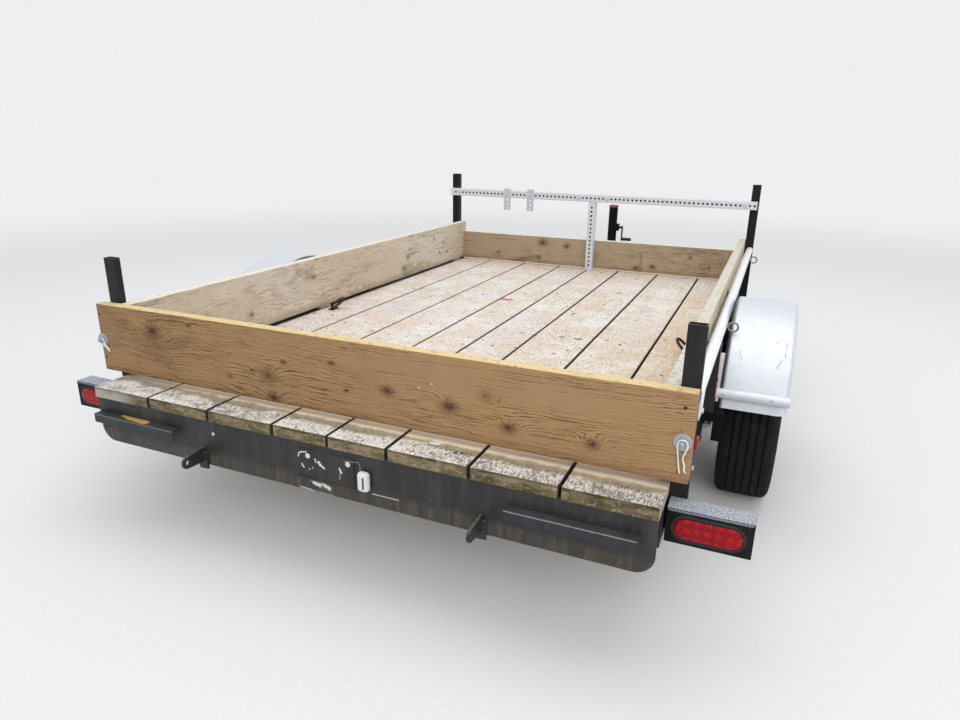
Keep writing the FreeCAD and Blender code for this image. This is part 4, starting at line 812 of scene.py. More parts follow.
GATE_MARKS = (
    Mark((-0.342, 0.624), (-0.333, 0.624), 0.0045, (0.075, 0.045, 0.028), 1.2, 0.8),
    Mark((0.239, 0.66), (0.24, 0.66), 0.0022, CREAM, 0.6, 0.9),
    Mark((0.2775, 0.677), (0.278, 0.677), 0.0026, CREAM, 0.6, 0.9),
    Mark((0.478, 0.671), (0.47, 0.655), 0.0016, (0.1, 0.055, 0.03), 1.2, 0.7))
GATE_KNOTS = (
    Knot(-0.726, 0.05, 0.017, 0.03), Knot(-0.713, 0.001, 0.026, 0.022, 0.35),
    Knot(-0.265, -0.032, 0.016, 0.03, 0.7), Knot(-0.25, -0.1, 0.013, 0.02), Knot(0.1505, -0.012, 0.012, 0.02),
    Knot(0.342, -0.026, 0.014, 0.028), Knot(0.512, -0.055, 0.012, 0.03), Knot(0.7356, -0.058, 0.01, 0.04),
    Knot(-0.204, 0.021, 0.006, 0.008), Knot(-0.032, 0.043, 0.006, 0.008),
    Knot(-0.4155, -0.056, 0.007, 0.006, 0.6), Knot(0.448, 0.022, 0.013, 0.02, 0.45),
    Knot(0.014, -0.034, 0.005, 0.006), Knot(-0.565, 0.09, 0.005, 0.006))
LEFT_MARKS = (
    Mark((0.462, 0.703), (0.478, 0.686), 0.0045, INK, 0.9, 0.8),
    Mark((0.536, 0.612), (0.556, 0.592), 0.005, INK, 0.9, 0.8),
    Mark((0.64, 0.603), (0.66, 0.588), 0.005, INK, 0.9, 0.8))
LEFT_KNOTS = (
    Knot(-1.02, -0.01, 0.014, 0.02, 0.7), Knot(-0.78, -0.05, 0.012, 0.02, 0.7),
    Knot(-0.35, 0.03, 0.01, 0.02, 0.7), Knot(0.539, -0.008, 0.015, 0.03, 0.7),
    Knot(0.493, -0.07, 0.017, 0.03, 0.7), Knot(1.0, 0.02, 0.01, 0.02, 0.7))
RIGHT_KNOTS = (
    Knot(-0.9, 0.02, 0.013, 0.02, 0.7), Knot(0.1, -0.03, 0.012, 0.02, 0.7), Knot(0.9, 0.01, 0.01, 0.02, 0.7))
FRONT_MARKS = (
    Mark((0.322, 0.64), (0.33, 0.53), 0.01, (0.16, 0.12, 0.09), 1.2, 0.45),
    Mark((0.128, 0.5235), (0.142, 0.5235), 0.006, INK, 0.8, 0.8))
FRONT_KNOTS = (
    Knot(-0.311, 0.053, 0.019, 0.03), Knot(-0.15, 0.04, 0.013, 0.02), Knot(-0.335, -0.045, 0.01, 0.02, 0.8),
    Knot(0.3, -0.06, 0.013, 0.02), Knot(0.4, -0.045, 0.012, 0.02), Knot(0.62, 0.03, 0.008, 0.01),
    Knot(0.73, -0.02, 0.006, 0.008), Knot(-0.62, -0.03, 0.006, 0.01))
BEAM_MARKS = (
    *track(((-0.1038, 0.4287), (-0.101, 0.4402), (-0.0893, 0.4453), (-0.0754, 0.4472)),
           0.0019, WHITE, 0.4, 0.9),
    Mark((-0.0933, 0.4065), (-0.087, 0.3965), 0.0024, WHITE, 0.8),
    Mark((-0.0555, 0.4034), (-0.054, 0.3986), 0.0016, WHITE, 0.9, 0.6),
    Mark((-0.0695, 0.392), (-0.0645, 0.397), 0.0018, WHITE, 1.2, 0.5),
    Mark((-0.046, 0.4308), (-0.0441, 0.4211), 0.003, WHITE, 1.0, 0.7),
    Mark((-0.0337, 0.4233), (-0.027, 0.4147), 0.0042, WHITE, 1.1),
    Mark((-0.027, 0.4147), (-0.0154, 0.4078), 0.0032, WHITE, 0.9),
    Mark((0.0365, 0.4185), (0.0419, 0.4063), 0.0027, WHITE, 0.9),
    Mark((0.0375, 0.4053), (0.0355, 0.3841), 0.0012, WHITE, 1.2, 0.5),
    *track(((0.0523, 0.4451), (0.0964, 0.4496), (0.1029, 0.4429), (0.1037, 0.4233)), 0.0011, FADED, 0.4, 0.8),
    Mark((-0.1195, 0.3583), (0.0185, 0.3598), 0.0012, FADED, 0.6, 0.9),
    Mark((-0.0573, 0.3551), (-0.0355, 0.348), 0.0062, WHITE, 1.6),
    Mark((-0.0275, 0.3568), (-0.0044, 0.3449), 0.006, WHITE, 1.6),
    Mark((-0.1053, 0.329), (-0.0562, 0.3262), 0.002, (0.55, 0.53, 0.46), 1.4, 0.9),
    Mark((-0.0562, 0.3262), (0.0105, 0.3255), 0.0013, (0.4, 0.38, 0.33), 1.4, 0.7),
    Mark((0.1408, 0.3623), (0.224, 0.3624), 0.0017, (0.55, 0.56, 0.52), 1.2, 0.8))
# Painted highlights: thin pale lines along the top edge of the step ledges' rear faces.
LEDGE_HIGHLIGHT_MARKS = (
    Mark((-0.9, 0.4255), (-0.56, 0.4255), 0.0016, (0.2, 0.22, 0.24), 0.9, 0.7),
    Mark((0.54, 0.4255), (0.87, 0.4255), 0.0016, (0.3, 0.32, 0.34), 0.9, 0.8))
LEDGE_TOP_MARKS = (
    Mark((-0.8, -1.894), (-0.7, -1.903), 0.0085, MUSTARD, 0.5),
    Mark((-0.77, -1.898), (-0.692, -1.905), 0.0135, MUSTARD, 0.5))
# Painted reflection: a blue-grey line of sky on each lamp box above its lens.
LAMP_BOX_HIGHLIGHT_MARKS = tuple(
    Mark((side * 0.925, 0.4685), (side * 1.113, 0.469), 0.003, (0.26, 0.29, 0.34), 0.9, 0.8)
    for side in SIDES)
FENDER_MARKS = (
    Mark((1.1518, 0.6764), (1.1551, 0.6541), 0.0008, INK, 2.2, 0.85),
    Mark((1.152, 0.6461), (1.1535, 0.636), 0.0008, INK, 2.2, 0.8),
    Mark((1.1466, 0.63), (1.1295, 0.6042), 0.0009, INK, 2.6, 0.7),
    Mark((1.124, 0.674), (1.125, 0.67), 0.001, INK, 1.6, 0.7),
    Mark((1.01, 0.64), (1.021, 0.62), 0.0016, INK, 3.0, 0.3))

FINISHES = {
    "planks": PlankWood(
        "weathered_planks", (0.76, 0.67, 0.56), (0.47, 0.36, 0.27), (0.78, 0.75, 0.7), line=0.28, checks=0.8,
        marks=DECK_MARKS),
    "gate": BoardWood(
        "golden_board", (0.47, 0.286, 0.14), (0.12, 0.055, 0.022), (0.33, 0.23, 0.138), line=0.88,
        greying=0.22, checks=0.35, offset=0.13, heart=0.05, wave=0.03, ring=0.0078, stains=0.26, fade=0.12,
        dashes=1.0, uneven=2.2, edge_bleach_and_highlight=(0.74, 0.58, 0.3), foot=0.525, marks=GATE_MARKS, knots=GATE_KNOTS),
    "side_left": BoardWood(
        "left_board", GREY_LIGHT, GREY_DARK, (0.7, 0.64, 0.57), line=0.7, greying=0.65, checks=0.6,
        offset=0.09, wave=0.028, stains=0.42, dashes=0.95, edge_bleach_and_highlight=(0.78, 0.72, 0.6), mark_axis=Axis.Y,
        marks=LEFT_MARKS, knots=LEFT_KNOTS),
    "side_right": BoardWood(
        "right_board", GREY_LIGHT, GREY_DARK, (0.6, 0.56, 0.49), line=0.45, offset=0.09, wave=0.028,
        stains=0.35, dashes=0.8, moss=0.45, knots=RIGHT_KNOTS),
    "front": BoardWood(
        "front_board_wood", (0.46, 0.345, 0.225), (0.185, 0.11, 0.06), (0.38, 0.32, 0.235), line=0.6,
        greying=0.35, offset=0.1, wave=0.03, ring=0.008, stains=0.6, edge_bleach_and_highlight=(0.86, 0.83, 0.74),
        foot=0.519, foot_highlight=0.9, dashes=0.95, marks=FRONT_MARKS, knots=FRONT_KNOTS),
    "frame": Paint("charcoal_enamel", (0.024, 0.024, 0.0255), 0.6, dirt_below=0.372, marks=BEAM_MARKS),
    "steel": Paint("plain_charcoal", (0.022, 0.023, 0.026), 0.5, 0.45),
    "ledge": Paint("ledge_charcoal", (0.024, 0.027, 0.031), 0.4, 0.15, 0.16, marks=LEDGE_HIGHLIGHT_MARKS,
                   top_marks=LEDGE_TOP_MARKS),
    "lamp_box": Paint("lamp_box_enamel", (0.008, 0.0078, 0.0088), 0.3, 0.05, 1.1, (0.56, 0.59, 0.66), 0.03,
                      shine=0.12, marks=LAMP_BOX_HIGHLIGHT_MARKS),
    "jack": Paint("jack_black", (0.004, 0.004, 0.0046), 0.25, 0.1, 0.12, film=0.02, rough=0.55, shine=0.12),
    "front_post": Paint("front_post_black", (0.006, 0.0063, 0.0072), 0.25, 0.15, 0.3, (0.16, 0.14, 0.12),
                        0.05, 0.5, 0.22),
    "post": Paint("rear_post_black", (0.0125, 0.0135, 0.0155), 0.25, 0.1, 0.95, (0.34, 0.24, 0.21),
                  0.05, 0.5, 0.28),
    "black": Paint("post_black", (0.0125, 0.0135, 0.0155), 0.25, 0.15, 0.3, (0.16, 0.14, 0.12), 0.07, 0.5),
    "brown": Paint("stake_brown", (0.022, 0.016, 0.014), 0.4, 0.55, film=0.07),
    "spring": Paint("spring_black", (0.014, 0.013, 0.0125), 0.3, 0.9, rough=0.6),
    "silver": SilverCoat("silver_pipe", (0.7, 0.73, 0.77), 0.7),
    "side_pipe": SilverCoat("side_pipe_silver", (0.93, 0.95, 0.98)),
    "fender": SilverCoat("silver_fender", (0.66, 0.685, 0.735), shadow_to=0.981, marks=FENDER_MARKS),
    "rim": SilverCoat("wheel_silver", (0.55, 0.55, 0.56), 0.9),
    "zinc": Zinc("zinc_plate", (0.64, 0.66, 0.7)),
    "washer": Zinc("washer_zinc", (0.4, 0.43, 0.49), 0.45, 0.6, 0.3, 0.5),
    "eye": Zinc("eye_zinc", (0.26, 0.25, 0.24), 0.5, 0.6, 0.2, 0.6),
    "galvanised": Zinc("galvanised_tube", (0.68, 0.71, 0.76), 0.45, 0.45, 0.4, 0.3),
    "bright": Zinc("bright_wire", (0.92, 0.92, 0.9), 0.3, 0.3, 0.6),
    "iron": RustyIron("rusty_iron"),
    "rubber": Rubber("lamp_rubber", (0.016, 0.016, 0.017), (0.2, 0.19, 0.17), 0.12, 0.5),
    "tyre": Rubber("tyre_rubber", (0.01, 0.01, 0.011), (0.085, 0.085, 0.088), 0.45, 0.18),
    "lens": LensPlastic("lamp_red"),
    "marker": Moulded("marker_red", (0.36, 0.02, 0.042), 0.25),
    "cap": Moulded("cap_red", (0.3, 0.05, 0.055)),
    "collar": Moulded("collar_pink", (0.6, 0.33, 0.31), grime=0.8),
    "white": Moulded("lamp_white", (0.78, 0.78, 0.76), 0.35),
    "window": Moulded("lamp_window", (0.06, 0.06, 0.065), 0.2),
    "grip": Moulded("grip_black", (0.018, 0.018, 0.019)),
}


class Shop:
    """Every finish of the trailer by a short name, each made once, and the dressing of pieces."""

    def __init__(self) -> None:
        """Start with no material made."""
        self.made: dict[str, bpy.types.Material] = {}

    def get(self, name: str) -> bpy.types.Material:
        """The material of a finish, made at the first call."""
        if name not in self.made:
            self.made[name] = FINISHES[name].build()
        return self.made[name]

    def piece(self, name: str, parts: Sequence["Surface"], finish: str, slot: Slot, nodes: Sequence[str] = (),
              sharp: float = 35.0, body: Body = Body.TRAILER) -> None:
        """Make one piece of closed surfaces and dress it.

        Args:
            name: the piece's name.
            parts: its surfaces.
            finish: its finish.
            slot: record slot.
            nodes: nodes that it replaces.
            sharp: angle in degrees above which an edge stays sharp.
            body: body that it rides on.
        """
        dress(Surface.join(parts).mesh(name, outward=True), self.get(finish), body, slot, nodes, sharp)


@dataclass
class Surface:
    """Points and faces of a surface before it is a mesh."""

    points: Array
    faces: list[Array] = field(default_factory=list)

    @classmethod
    def grid(cls, points: Array, wrap_u: bool = False, wrap_v: bool = False, flip: bool = False) -> "Surface":
        """Quads over a grid of points; the normal is the first direction crossed with the second.

        Args:
            points: rows by columns by three.
            wrap_u: join the last row to the first.
            wrap_v: join the last column to the first.
            flip: turn the faces round.

        Returns:
            The surface.
        """
        rows, columns = points.shape[:2]
        index = np.arange(rows * columns).reshape(rows, columns)
        if wrap_u:
            index = np.concatenate([index, index[:1]], axis=0)
        if wrap_v:
            index = np.concatenate([index, index[:, :1]], axis=1)
        ends = [index[:-1, :-1], index[1:, :-1], index[1:, 1:], index[:-1, 1:]]
        quads = np.stack(ends, axis=-1).reshape(-1, 4)
        return cls(points.reshape(-1, 3).astype(float), [quads[:, ::-1] if flip else quads])

    @classmethod
    def cap(cls, ring: Array, flip: bool = False) -> "Surface":
        """One flat face inside a ring of points."""
        index = np.arange(len(ring))[None, :]
        return cls(ring.astype(float), [index[:, ::-1] if flip else index])

    @classmethod
    def join(cls, parts: Sequence["Surface"]) -> "Surface":
        """All parts as one surface."""
        starts = np.cumsum([0] + [len(part.points) for part in parts[:-1]])
        faces = [face + start for part, start in zip(parts, starts) for face in part.faces]
        return cls(np.concatenate([part.points for part in parts]), faces)

    def mirrored(self) -> "Surface":
        """The same surface on the trailer's other side, faces still outwards."""
        return Surface(self.points * np.array([-1.0, 1.0, 1.0]), [face[:, ::-1] for face in self.faces])

    def moved(self, offset: Point) -> "Surface":
        """The surface shifted by an offset."""
        return Surface(self.points + np.array(offset), self.faces)

    def mesh(self, name: str, outward: bool = False) -> bpy.types.Object:
        """A mesh object with doubled points merged.

        Args:
            name: the object's name.
            outward: work out afresh which way closed shells face.

        Returns:
            The object, linked to the scene.
        """
        made = bpy.data.meshes.new(name)
        made.from_pydata(self.points.tolist(), [], [row for face in self.faces for row in face.tolist()])
        shell = bmesh.new()
        shell.from_mesh(made)
        bmesh.ops.remove_doubles(shell, verts=shell.verts, dist=2e-6)
        if outward:
            bmesh.ops.recalc_face_normals(shell, faces=shell.faces)
        shell.to_mesh(made)
        shell.free()
        thing = bpy.data.objects.new(name, made)
        bpy.context.scene.collection.objects.link(thing)
        return thing


def capped(points: Array, flip: bool = False) -> Surface:
    """Closed loops joined in order, with a flat face over the first and the last."""
    return Surface.join([Surface.grid(points, wrap_v=True, flip=flip), Surface.cap(points[0], flip),
                         Surface.cap(points[-1], not flip)])


def spread(flat: Array, along: Array, axis: Axis) -> Array:
    """Points of flat loops set across an axis: the loop's two values follow the axis in cyclic order.

    Args:
        flat: loops by points by two.
        along: place of each loop along the axis.
        axis: the axis.

    Returns:
        Loops by points by three.
    """
    k = axis.value
    points = np.empty(flat.shape[:2] + (3,))
    points[..., k] = along[:, None]
    points[..., (k + 1) % 3] = flat[..., 0]
    points[..., (k + 2) % 3] = flat[..., 1]
    return points


def round_loop(half_a: float, half_b: float, radius: float, steps: int = 4) -> Array:
    """Rectangle with round corners: at each corner a quarter circle about the corner's own centre.

    Args:
        half_a: half the first side.
        half_b: half the second side.
        radius: corner radius.
        steps: segments a corner.

    Returns:
        Points by two, anticlockwise.
    """
    angle = (np.arange(4)[:, None] * math.pi / 2 + np.linspace(0, math.pi / 2, steps + 1)[None, :]).ravel()
    corner = np.repeat(np.array([[1, 1], [-1, 1], [-1, -1], [1, -1]], float), steps + 1, axis=0)
    middle = corner * np.array([half_a - radius, half_b - radius])
    return middle + radius * np.stack([np.cos(angle), np.sin(angle)], axis=1)


def circle_loop(radius: float, sides: int) -> Array:
    """Circle of points by two."""
    angle = np.linspace(0, 2 * math.pi, sides, endpoint=False)
    return radius * np.stack([np.cos(angle), np.sin(angle)], axis=1)


def stud(radius: float, sides: int, low: float, high: float, axis: Axis, centre: Spot,
         edge: float = 0.0) -> Surface:
    """Solid round or six-sided bar along an axis, drawn in at both ends by a small edge, and capped.

    Args:
        radius: distance to its corners.
        sides: corners round it.
        low: lower end.
        high: upper end.
        axis: the bar's axis.
        centre: its middle on the two other axes, in cyclic order.
        edge: chamfer at the ends.

    Returns:
        The closed surface.
    """
    loop = circle_loop(radius, sides)
    drawn = loop * (1.0 - edge / radius)
    rings = np.stack([drawn, loop, loop, drawn] if edge else [loop, loop]) + np.array(centre)
    along = np.array([low, low + edge, high - edge, high] if edge else [low, high])
    return capped(spread(rings, along, axis), flip=True)


def lathe(profile: Array, axis: Axis, centre: Point, sides: int, closed: bool = True) -> Surface:
    """Turned surface: points at (distance, height) carried round an axis.

    Args:
        profile: points by two, radius and place along the axis.
        axis: the axis.
        centre: a point on it.
        sides: steps round.
        closed: whether the profile's last point joins its first.

    Returns:
        The surface.
    """
    turn = circle_loop(1.0, sides)
    k = axis.value
    points = np.empty((sides, len(profile), 3))
    points[..., (k + 1) % 3] = turn[:, :1] * profile[None, :, 0]
    points[..., (k + 2) % 3] = turn[:, 1:] * profile[None, :, 0]
    points[..., k] = profile[None, :, 1]
    return Surface.grid(points + np.array(centre), wrap_u=True, wrap_v=closed)


def wire(path: Array, radius: float, across: Point, sides: int = 10) -> Surface:
    """Round wire along a flat path: a circle held square to the path by a fixed direction across it.

    Args:
        path: points by three.
        radius: the wire's radius.
        across: a direction never in line with the path.
        sides: steps round.

    Returns:
        The closed surface.
    """
    run = np.gradient(path, axis=0)
    run /= np.linalg.norm(run, axis=1, keepdims=True)
    side = np.cross(run, np.array(across))
    side /= np.linalg.norm(side, axis=1, keepdims=True)
    rise = np.cross(side, run)
    turn = circle_loop(radius, sides)[None]
    return capped(path[:, None, :] + turn[..., :1] * side[:, None, :] + turn[..., 1:] * rise[:, None, :])


def stops(half: float, radius: float, cells: int, rings: int) -> Array:
    """Places along one side of a rounded block: even cells, then the tangents of an eighth turn."""
    arc = radius * np.tan(np.linspace(0, math.pi / 4, rings + 1)[1:])
    flat = half - radius
    return np.concatenate([-flat - arc[::-1], np.linspace(-flat, flat, cells + 1), half - radius + arc])


def rounded_block(low: Point, high: Point, radius: float, cells: tuple[int, int, int] = (1, 1, 1),
                  rings: int = 2) -> Surface:
    """Box with round edges: each point of the box's skin is drawn to a radius from the box's core.

    Args:
        low: lowest corner.
        high: highest corner.
        radius: edge radius.
        cells: divisions on each axis.
        rings: steps of an eighth turn at the edges.

    Returns:
        The closed surface.
    """
    bottom, top = np.array(low, float), np.array(high, float)
    half, middle = (top - bottom) / 2, (top + bottom) / 2
    lines = [stops(half[k], radius, cells[k], rings) for k in range(3)]
    parts = []
    for k in range(3):
        a, b = (k + 1) % 3, (k + 2) % 3
        for sign in SIDES:
            first, second = np.meshgrid(lines[a], lines[b], indexing="ij")
            skin = np.empty(first.shape + (3,))
            skin[..., k], skin[..., a], skin[..., b] = sign * half[k], first, second
            core = np.clip(skin, -(half - radius), half - radius)
            gap = skin - core
            gap /= np.linalg.norm(gap, axis=-1, keepdims=True)
            parts.append(Surface.grid(core + gap * radius + middle, flip=sign < 0))
    return Surface.join(parts)


def dress(thing: bpy.types.Object, material: bpy.types.Material, body: Body, slot: Slot,
          nodes: Sequence[str] = (), sharp: float = 40.0, bevel: float = 0.0) -> bpy.types.Object:
    """Finish a piece: shading, bevel, material, body and the nodes that it stands for.

    Args:
        thing: the mesh object.
        material: its material.
        body: body that it rides on.
        slot: record slot; not used.
        nodes: nodes that it replaces.
        sharp: angle in degrees above which an edge stays sharp.
        bevel: width of a rounded edge, 0 for none.

    Returns:
        The object.
    """
    mesh = thing.data
    mesh.materials.clear()
    mesh.materials.append(material)
    mesh.shade_smooth()
    mesh.set_sharp_from_angle(angle=math.radians(sharp))
    if bevel:
        rounding = thing.modifiers.new("edge", "BEVEL")
        rounding.width = bevel
        rounding.segments = 2
        rounding.limit_method = "ANGLE"
        rounding.angle_limit = math.radians(32)
        rounding.harden_normals = True
    else:
        weighting = thing.modifiers.new("normals", "WEIGHTED_NORMAL")
        weighting.keep_sharp = True
    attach(thing, body.value)
    if nodes:
        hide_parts(*nodes)
    return thing


def softened(node: str, name: str, material: bpy.types.Material, body: Body, slot: Slot,
             bevel: float = 0.0012) -> bpy.types.Object:
    """A node's own form with merged faces and softly rounded edges, standing for the node.

    Args:
        node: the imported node.
        name: the piece's name.
        material: its material.
        body: body that it rides on.
        slot: record slot.
        bevel: width of the rounded edges.

    Returns:
        The piece.
    """
    shell = bmesh.new()
    shell.from_mesh(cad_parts[node].data)
    bmesh.ops.remove_doubles(shell, verts=shell.verts, dist=2e-6)
    bmesh.ops.dissolve_limit(shell, angle_limit=math.radians(0.8), verts=shell.verts, edges=shell.edges)
    made = bpy.data.meshes.new(name)
    shell.to_mesh(made)
    shell.free()
    thing = bpy.data.objects.new(name, made)
    bpy.context.scene.collection.objects.link(thing)
    return dress(thing, material, body, slot, [node], bevel=bevel)


def vector_attribute(thing: bpy.types.Object, name: str, values: Array) -> None:
    """Store a vector for each point of a mesh."""
    made = thing.data.attributes.new(name, "FLOAT_VECTOR", "POINT")
    made.data.foreach_set("vector", values.astype(np.float32).ravel())


def number_attribute(thing: bpy.types.Object, name: str, values: Array) -> None:
    """Store a number for each point of a mesh."""
    made = thing.data.attributes.new(name, "FLOAT", "POINT")
    made.data.foreach_set("value", values.astype(np.float32))


def corners(thing: bpy.types.Object) -> Array:
    """All points of a mesh, points by three."""
    found = np.empty(len(thing.data.vertices) * 3, np.float32)
    thing.data.vertices.foreach_get("co", found)
    return found.reshape(-1, 3).astype(float)


def ripple(places: Array, seed: float) -> Array:
    """Slow uneven wave from 0 to 1: the mean of three sines of unlike length along a board."""
    waves = sum(np.sin(places * rate + seed * shift) for rate, shift in ((2.3, 1.7), (5.9, 3.1), (13.0, 4.7)))
    return 0.5 + waves / 6.0


@dataclass
class Timber:
    """One sawn board: a rounded block whose edges wander a little inwards, marked with its own grain."""

    low: Point
    high: Point
    axis: Axis
    through: Axis
    seed: float
    radius: float = 0.003
    wander: float = 0.0008

    def surface(self) -> Surface:
        """Rounded block, each point drawn towards the board's middle line by a slow wave along its length."""
        size = np.array(self.high) - np.array(self.low)
        cells = [3, 3, 3]
        cells[self.axis.value] = max(8, int(size[self.axis.value] / 0.03))
        block = rounded_block(self.low, self.high, self.radius, tuple(cells))
        middle = (np.array(self.high) + np.array(self.low)) / 2
        offset = block.points - middle
        for k in range(3):
            if k != self.axis.value:
                phase = self.seed + k + np.sign(offset[:, k])
                pull = self.wander * ripple(block.points[:, self.axis.value], phase)
                block.points[:, k] -= np.sign(offset[:, k]) * pull
        return block

    def mark(self, points: Array) -> tuple[Array, Array]:
        """Place along, across and through the board, and the board's number, for each point."""
        middle = (np.array(self.high) + np.array(self.low)) / 2
        across = 3 - self.axis.value - self.through.value
        order = [self.axis.value, across, self.through.value]
        return (points - middle)[:, order], np.full(len(points), self.seed)


def build_timber(name: str, boards: Sequence[Timber], material: bpy.types.Material, slot: Slot,
                 nodes: Sequence[str]) -> bpy.types.Object:
    """Make one piece of several boards, each point marked by the board nearest to it.

    Args:
        name: the piece's name.
        boards: its boards.
        material: its material.
        slot: record slot.
        nodes: nodes that it replaces.

    Returns:
        The piece.
    """
    surfaces = [board.surface() for board in boards]
    thing = Surface.join(surfaces).mesh(name)
    points = corners(thing)
    wood = np.zeros_like(points)
    seeds = np.zeros(len(points))
    for board in boards:
        low, high = np.array(board.low) - 1e-4, np.array(board.high) + 1e-4
        inside = np.all((points >= low) & (points <= high), axis=1)
        marks, numbers = board.mark(points[inside])
        wood[inside] = marks
        seeds[inside] = numbers
    vector_attribute(thing, "wood", wood)
    number_attribute(thing, "seed", seeds)
    return dress(thing, material, Body.TRAILER, slot, nodes)


@dataclass
class Deck:
    """Eight deck planks."""

    shop: Shop
    half: float = 0.9144
    rear: float = -1.899
    front: float = 0.977
    low: float = 0.4761
    top: float = 0.514
    gap: float = 0.00725
    wide: float = 0.235

    def build(self) -> None:
        """Lay the planks from left to right, each with its own length at the rear."""
        middle = self.half - 3 * (self.wide + self.gap) - self.gap / 2
        widths = [self.wide] * 3 + [middle] * 2 + [self.wide] * 3
        starts = -self.half + np.concatenate([[0.0], np.cumsum(np.array(widths[:-1]) + self.gap)])
        trims = (0.0, 0.001, 0.0005, 0.0025, 0.001, 0.0015, 0.002, 0.0005)
        planks = [Timber((x, self.rear + trim, self.low), (x + width, self.front - trim, self.top),
                         Axis.Y, Axis.Z, 1.0 + 1.37 * k, 0.0035)
                  for k, (x, width, trim) in enumerate(zip(starts, widths, trims))]
        build_timber("deck_plank_set", planks, self.shop.get("planks"), Slot.PLANK, ["deck_planks"])
        LOG.info("deck: %d planks", len(planks))


@dataclass
class LoadSides:
    """Side boards on their cleats, front board and lift-out tailgate."""

    shop: Shop
    half: float = 0.9144
    thick: float = 0.038
    gate_rear: float = -1.793
    gate_front: float = -1.7551
    pin_height: float = 0.638
    pins: Spot = (-0.97285, 0.936625)

    def side(self, sign: int, finish: str, slot: Slot, nodes: Sequence[str]) -> None:
        """One side board with its three cleats."""
        outer, inner = self.half - 0.0001, self.half - self.thick
        x0, x1 = (inner, outer) if sign > 0 else (-outer, -inner)
        boards = [Timber((x0, -1.7549, 0.526), (x1, 0.945, 0.761), Axis.Y, Axis.X, 20.0 + sign, 0.0035)]
        for k, y in enumerate((-1.6223, -0.678, 0.809225)):
            low, high = (x0, y - 0.04, 0.5141), (x1, y + 0.04, 0.5259)
            boards.append(Timber(low, high, Axis.Y, Axis.X, 30.0 + k, 0.001, 0.0))
        name = "side_board_" + ("right" if sign > 0 else "left")
        build_timber(name, boards, self.shop.get(finish), slot, nodes)

    def bored_gate(self) -> None:
        """Tailgate board with its two pin holes cut through."""
        low, high = (-0.984, self.gate_rear, 0.5295), (0.959, self.gate_front, 0.7625)
        gate = Timber(low, high, Axis.X, Axis.Y, 41.0, 0.0035)
        thing = build_timber("tailgate_board", [gate], self.shop.get("gate"), Slot.GOLD, ["gate_board"])
        ends = self.gate_rear - 0.01, self.gate_front + 0.01
        drills = [stud(0.0065, 24, *ends, Axis.Y, (self.pin_height, x)) for x in self.pins]
        drill = Surface.join(drills).mesh("gate_drill")
        cut = thing.modifiers.new("holes", "BOOLEAN")
        cut.object = drill
        cut.solver = "EXACT"
        thing.modifiers.move(len(thing.modifiers) - 1, 0)
        graph = bpy.context.evaluated_depsgraph_get()
        pierced = bpy.data.meshes.new_from_object(thing.evaluated_get(graph))
        thing.modifiers.clear()
        thing.data = pierced
        bpy.data.objects.remove(drill)

    def build(self) -> None:
        """Make every board."""
        self.side(1, "side_right", Slot.GREY, ["side_boards"])
        self.side(-1, "side_left", Slot.GREY, ["side_boards"])
        front = Timber((-0.8763, 0.907, 0.5141), (0.8763, 0.945, 0.698), Axis.X, Axis.Y, 51.0, 0.0035)
        build_timber("front_board_piece", [front], self.shop.get("front"), Slot.BROWN, ["front_board"])
        self.bored_gate()
        LOG.info("load sides: 2 side boards, front board, tailgate")


@dataclass
class Steelwork:
    """Frame, tongue, running gear and other plain steel, in their own forms with rounded edges."""

    shop: Shop
    plan: tuple[tuple[str, str, Slot, float], ...] = (
        ("rear_beam", "frame", Slot.FRAME, 0.0022),
        ("side_rails", "steel", Slot.FRAME, 0.002),
        ("front_beam", "steel", Slot.FRAME, 0.002),
        ("cross_members", "steel", Slot.FRAME, 0.0015),
        ("tongue_legs", "steel", Slot.FRAME, 0.002),
        ("tongue_plates", "steel", Slot.FRAME, 0.001),
        ("coupler", "black", Slot.BLACK, 0.0012),
        ("coupler_latch", "zinc", Slot.ZINC, 0.0015),
        ("jack_tube", "jack", Slot.BLACK, 0.001),
        ("jack_cap", "cap", Slot.RED, 0.003),
        ("jack_crank", "grip", Slot.ZINC, 0.001),
        ("jack_leg", "zinc", Slot.ZINC, 0.001),
        ("axle_beam", "steel", Slot.FRAME, 0.0015),
        ("leaf_springs", "spring", Slot.BLACK, 0.0008),
        ("spring_hangers", "steel", Slot.FRAME, 0.001),
        ("axle_clamps", "zinc", Slot.ZINC, 0.002),
        ("fender_stays", "jack", Slot.BLACK, 0.0015),
        ("lamp_boxes", "lamp_box", Slot.FRAME, 0.0022),
        ("step_ledges", "ledge", Slot.FRAME, 0.0012),
        ("tow_lugs", "steel", Slot.FRAME, 0.0015),
        ("plate_bracket", "frame", Slot.FRAME, 0.0006),
        ("rear_posts", "post", Slot.BLACK, 0.0022),
        ("front_posts", "front_post", Slot.BLACK, 0.0025),
        ("mid_stakes", "brown", Slot.BLACK, 0.0025),
    )

    def build(self) -> None:
        """Make each piece of the plan; all but the jack's leg ride on the trailer."""
        for node, finish, slot, bevel in self.plan:
            body = Body.JACK_LEG if node == "jack_leg" else Body.TRAILER
            softened(node, node + "_piece", self.shop.get(finish), body, slot, bevel)
        LOG.info("steelwork: %d pieces", len(self.plan))


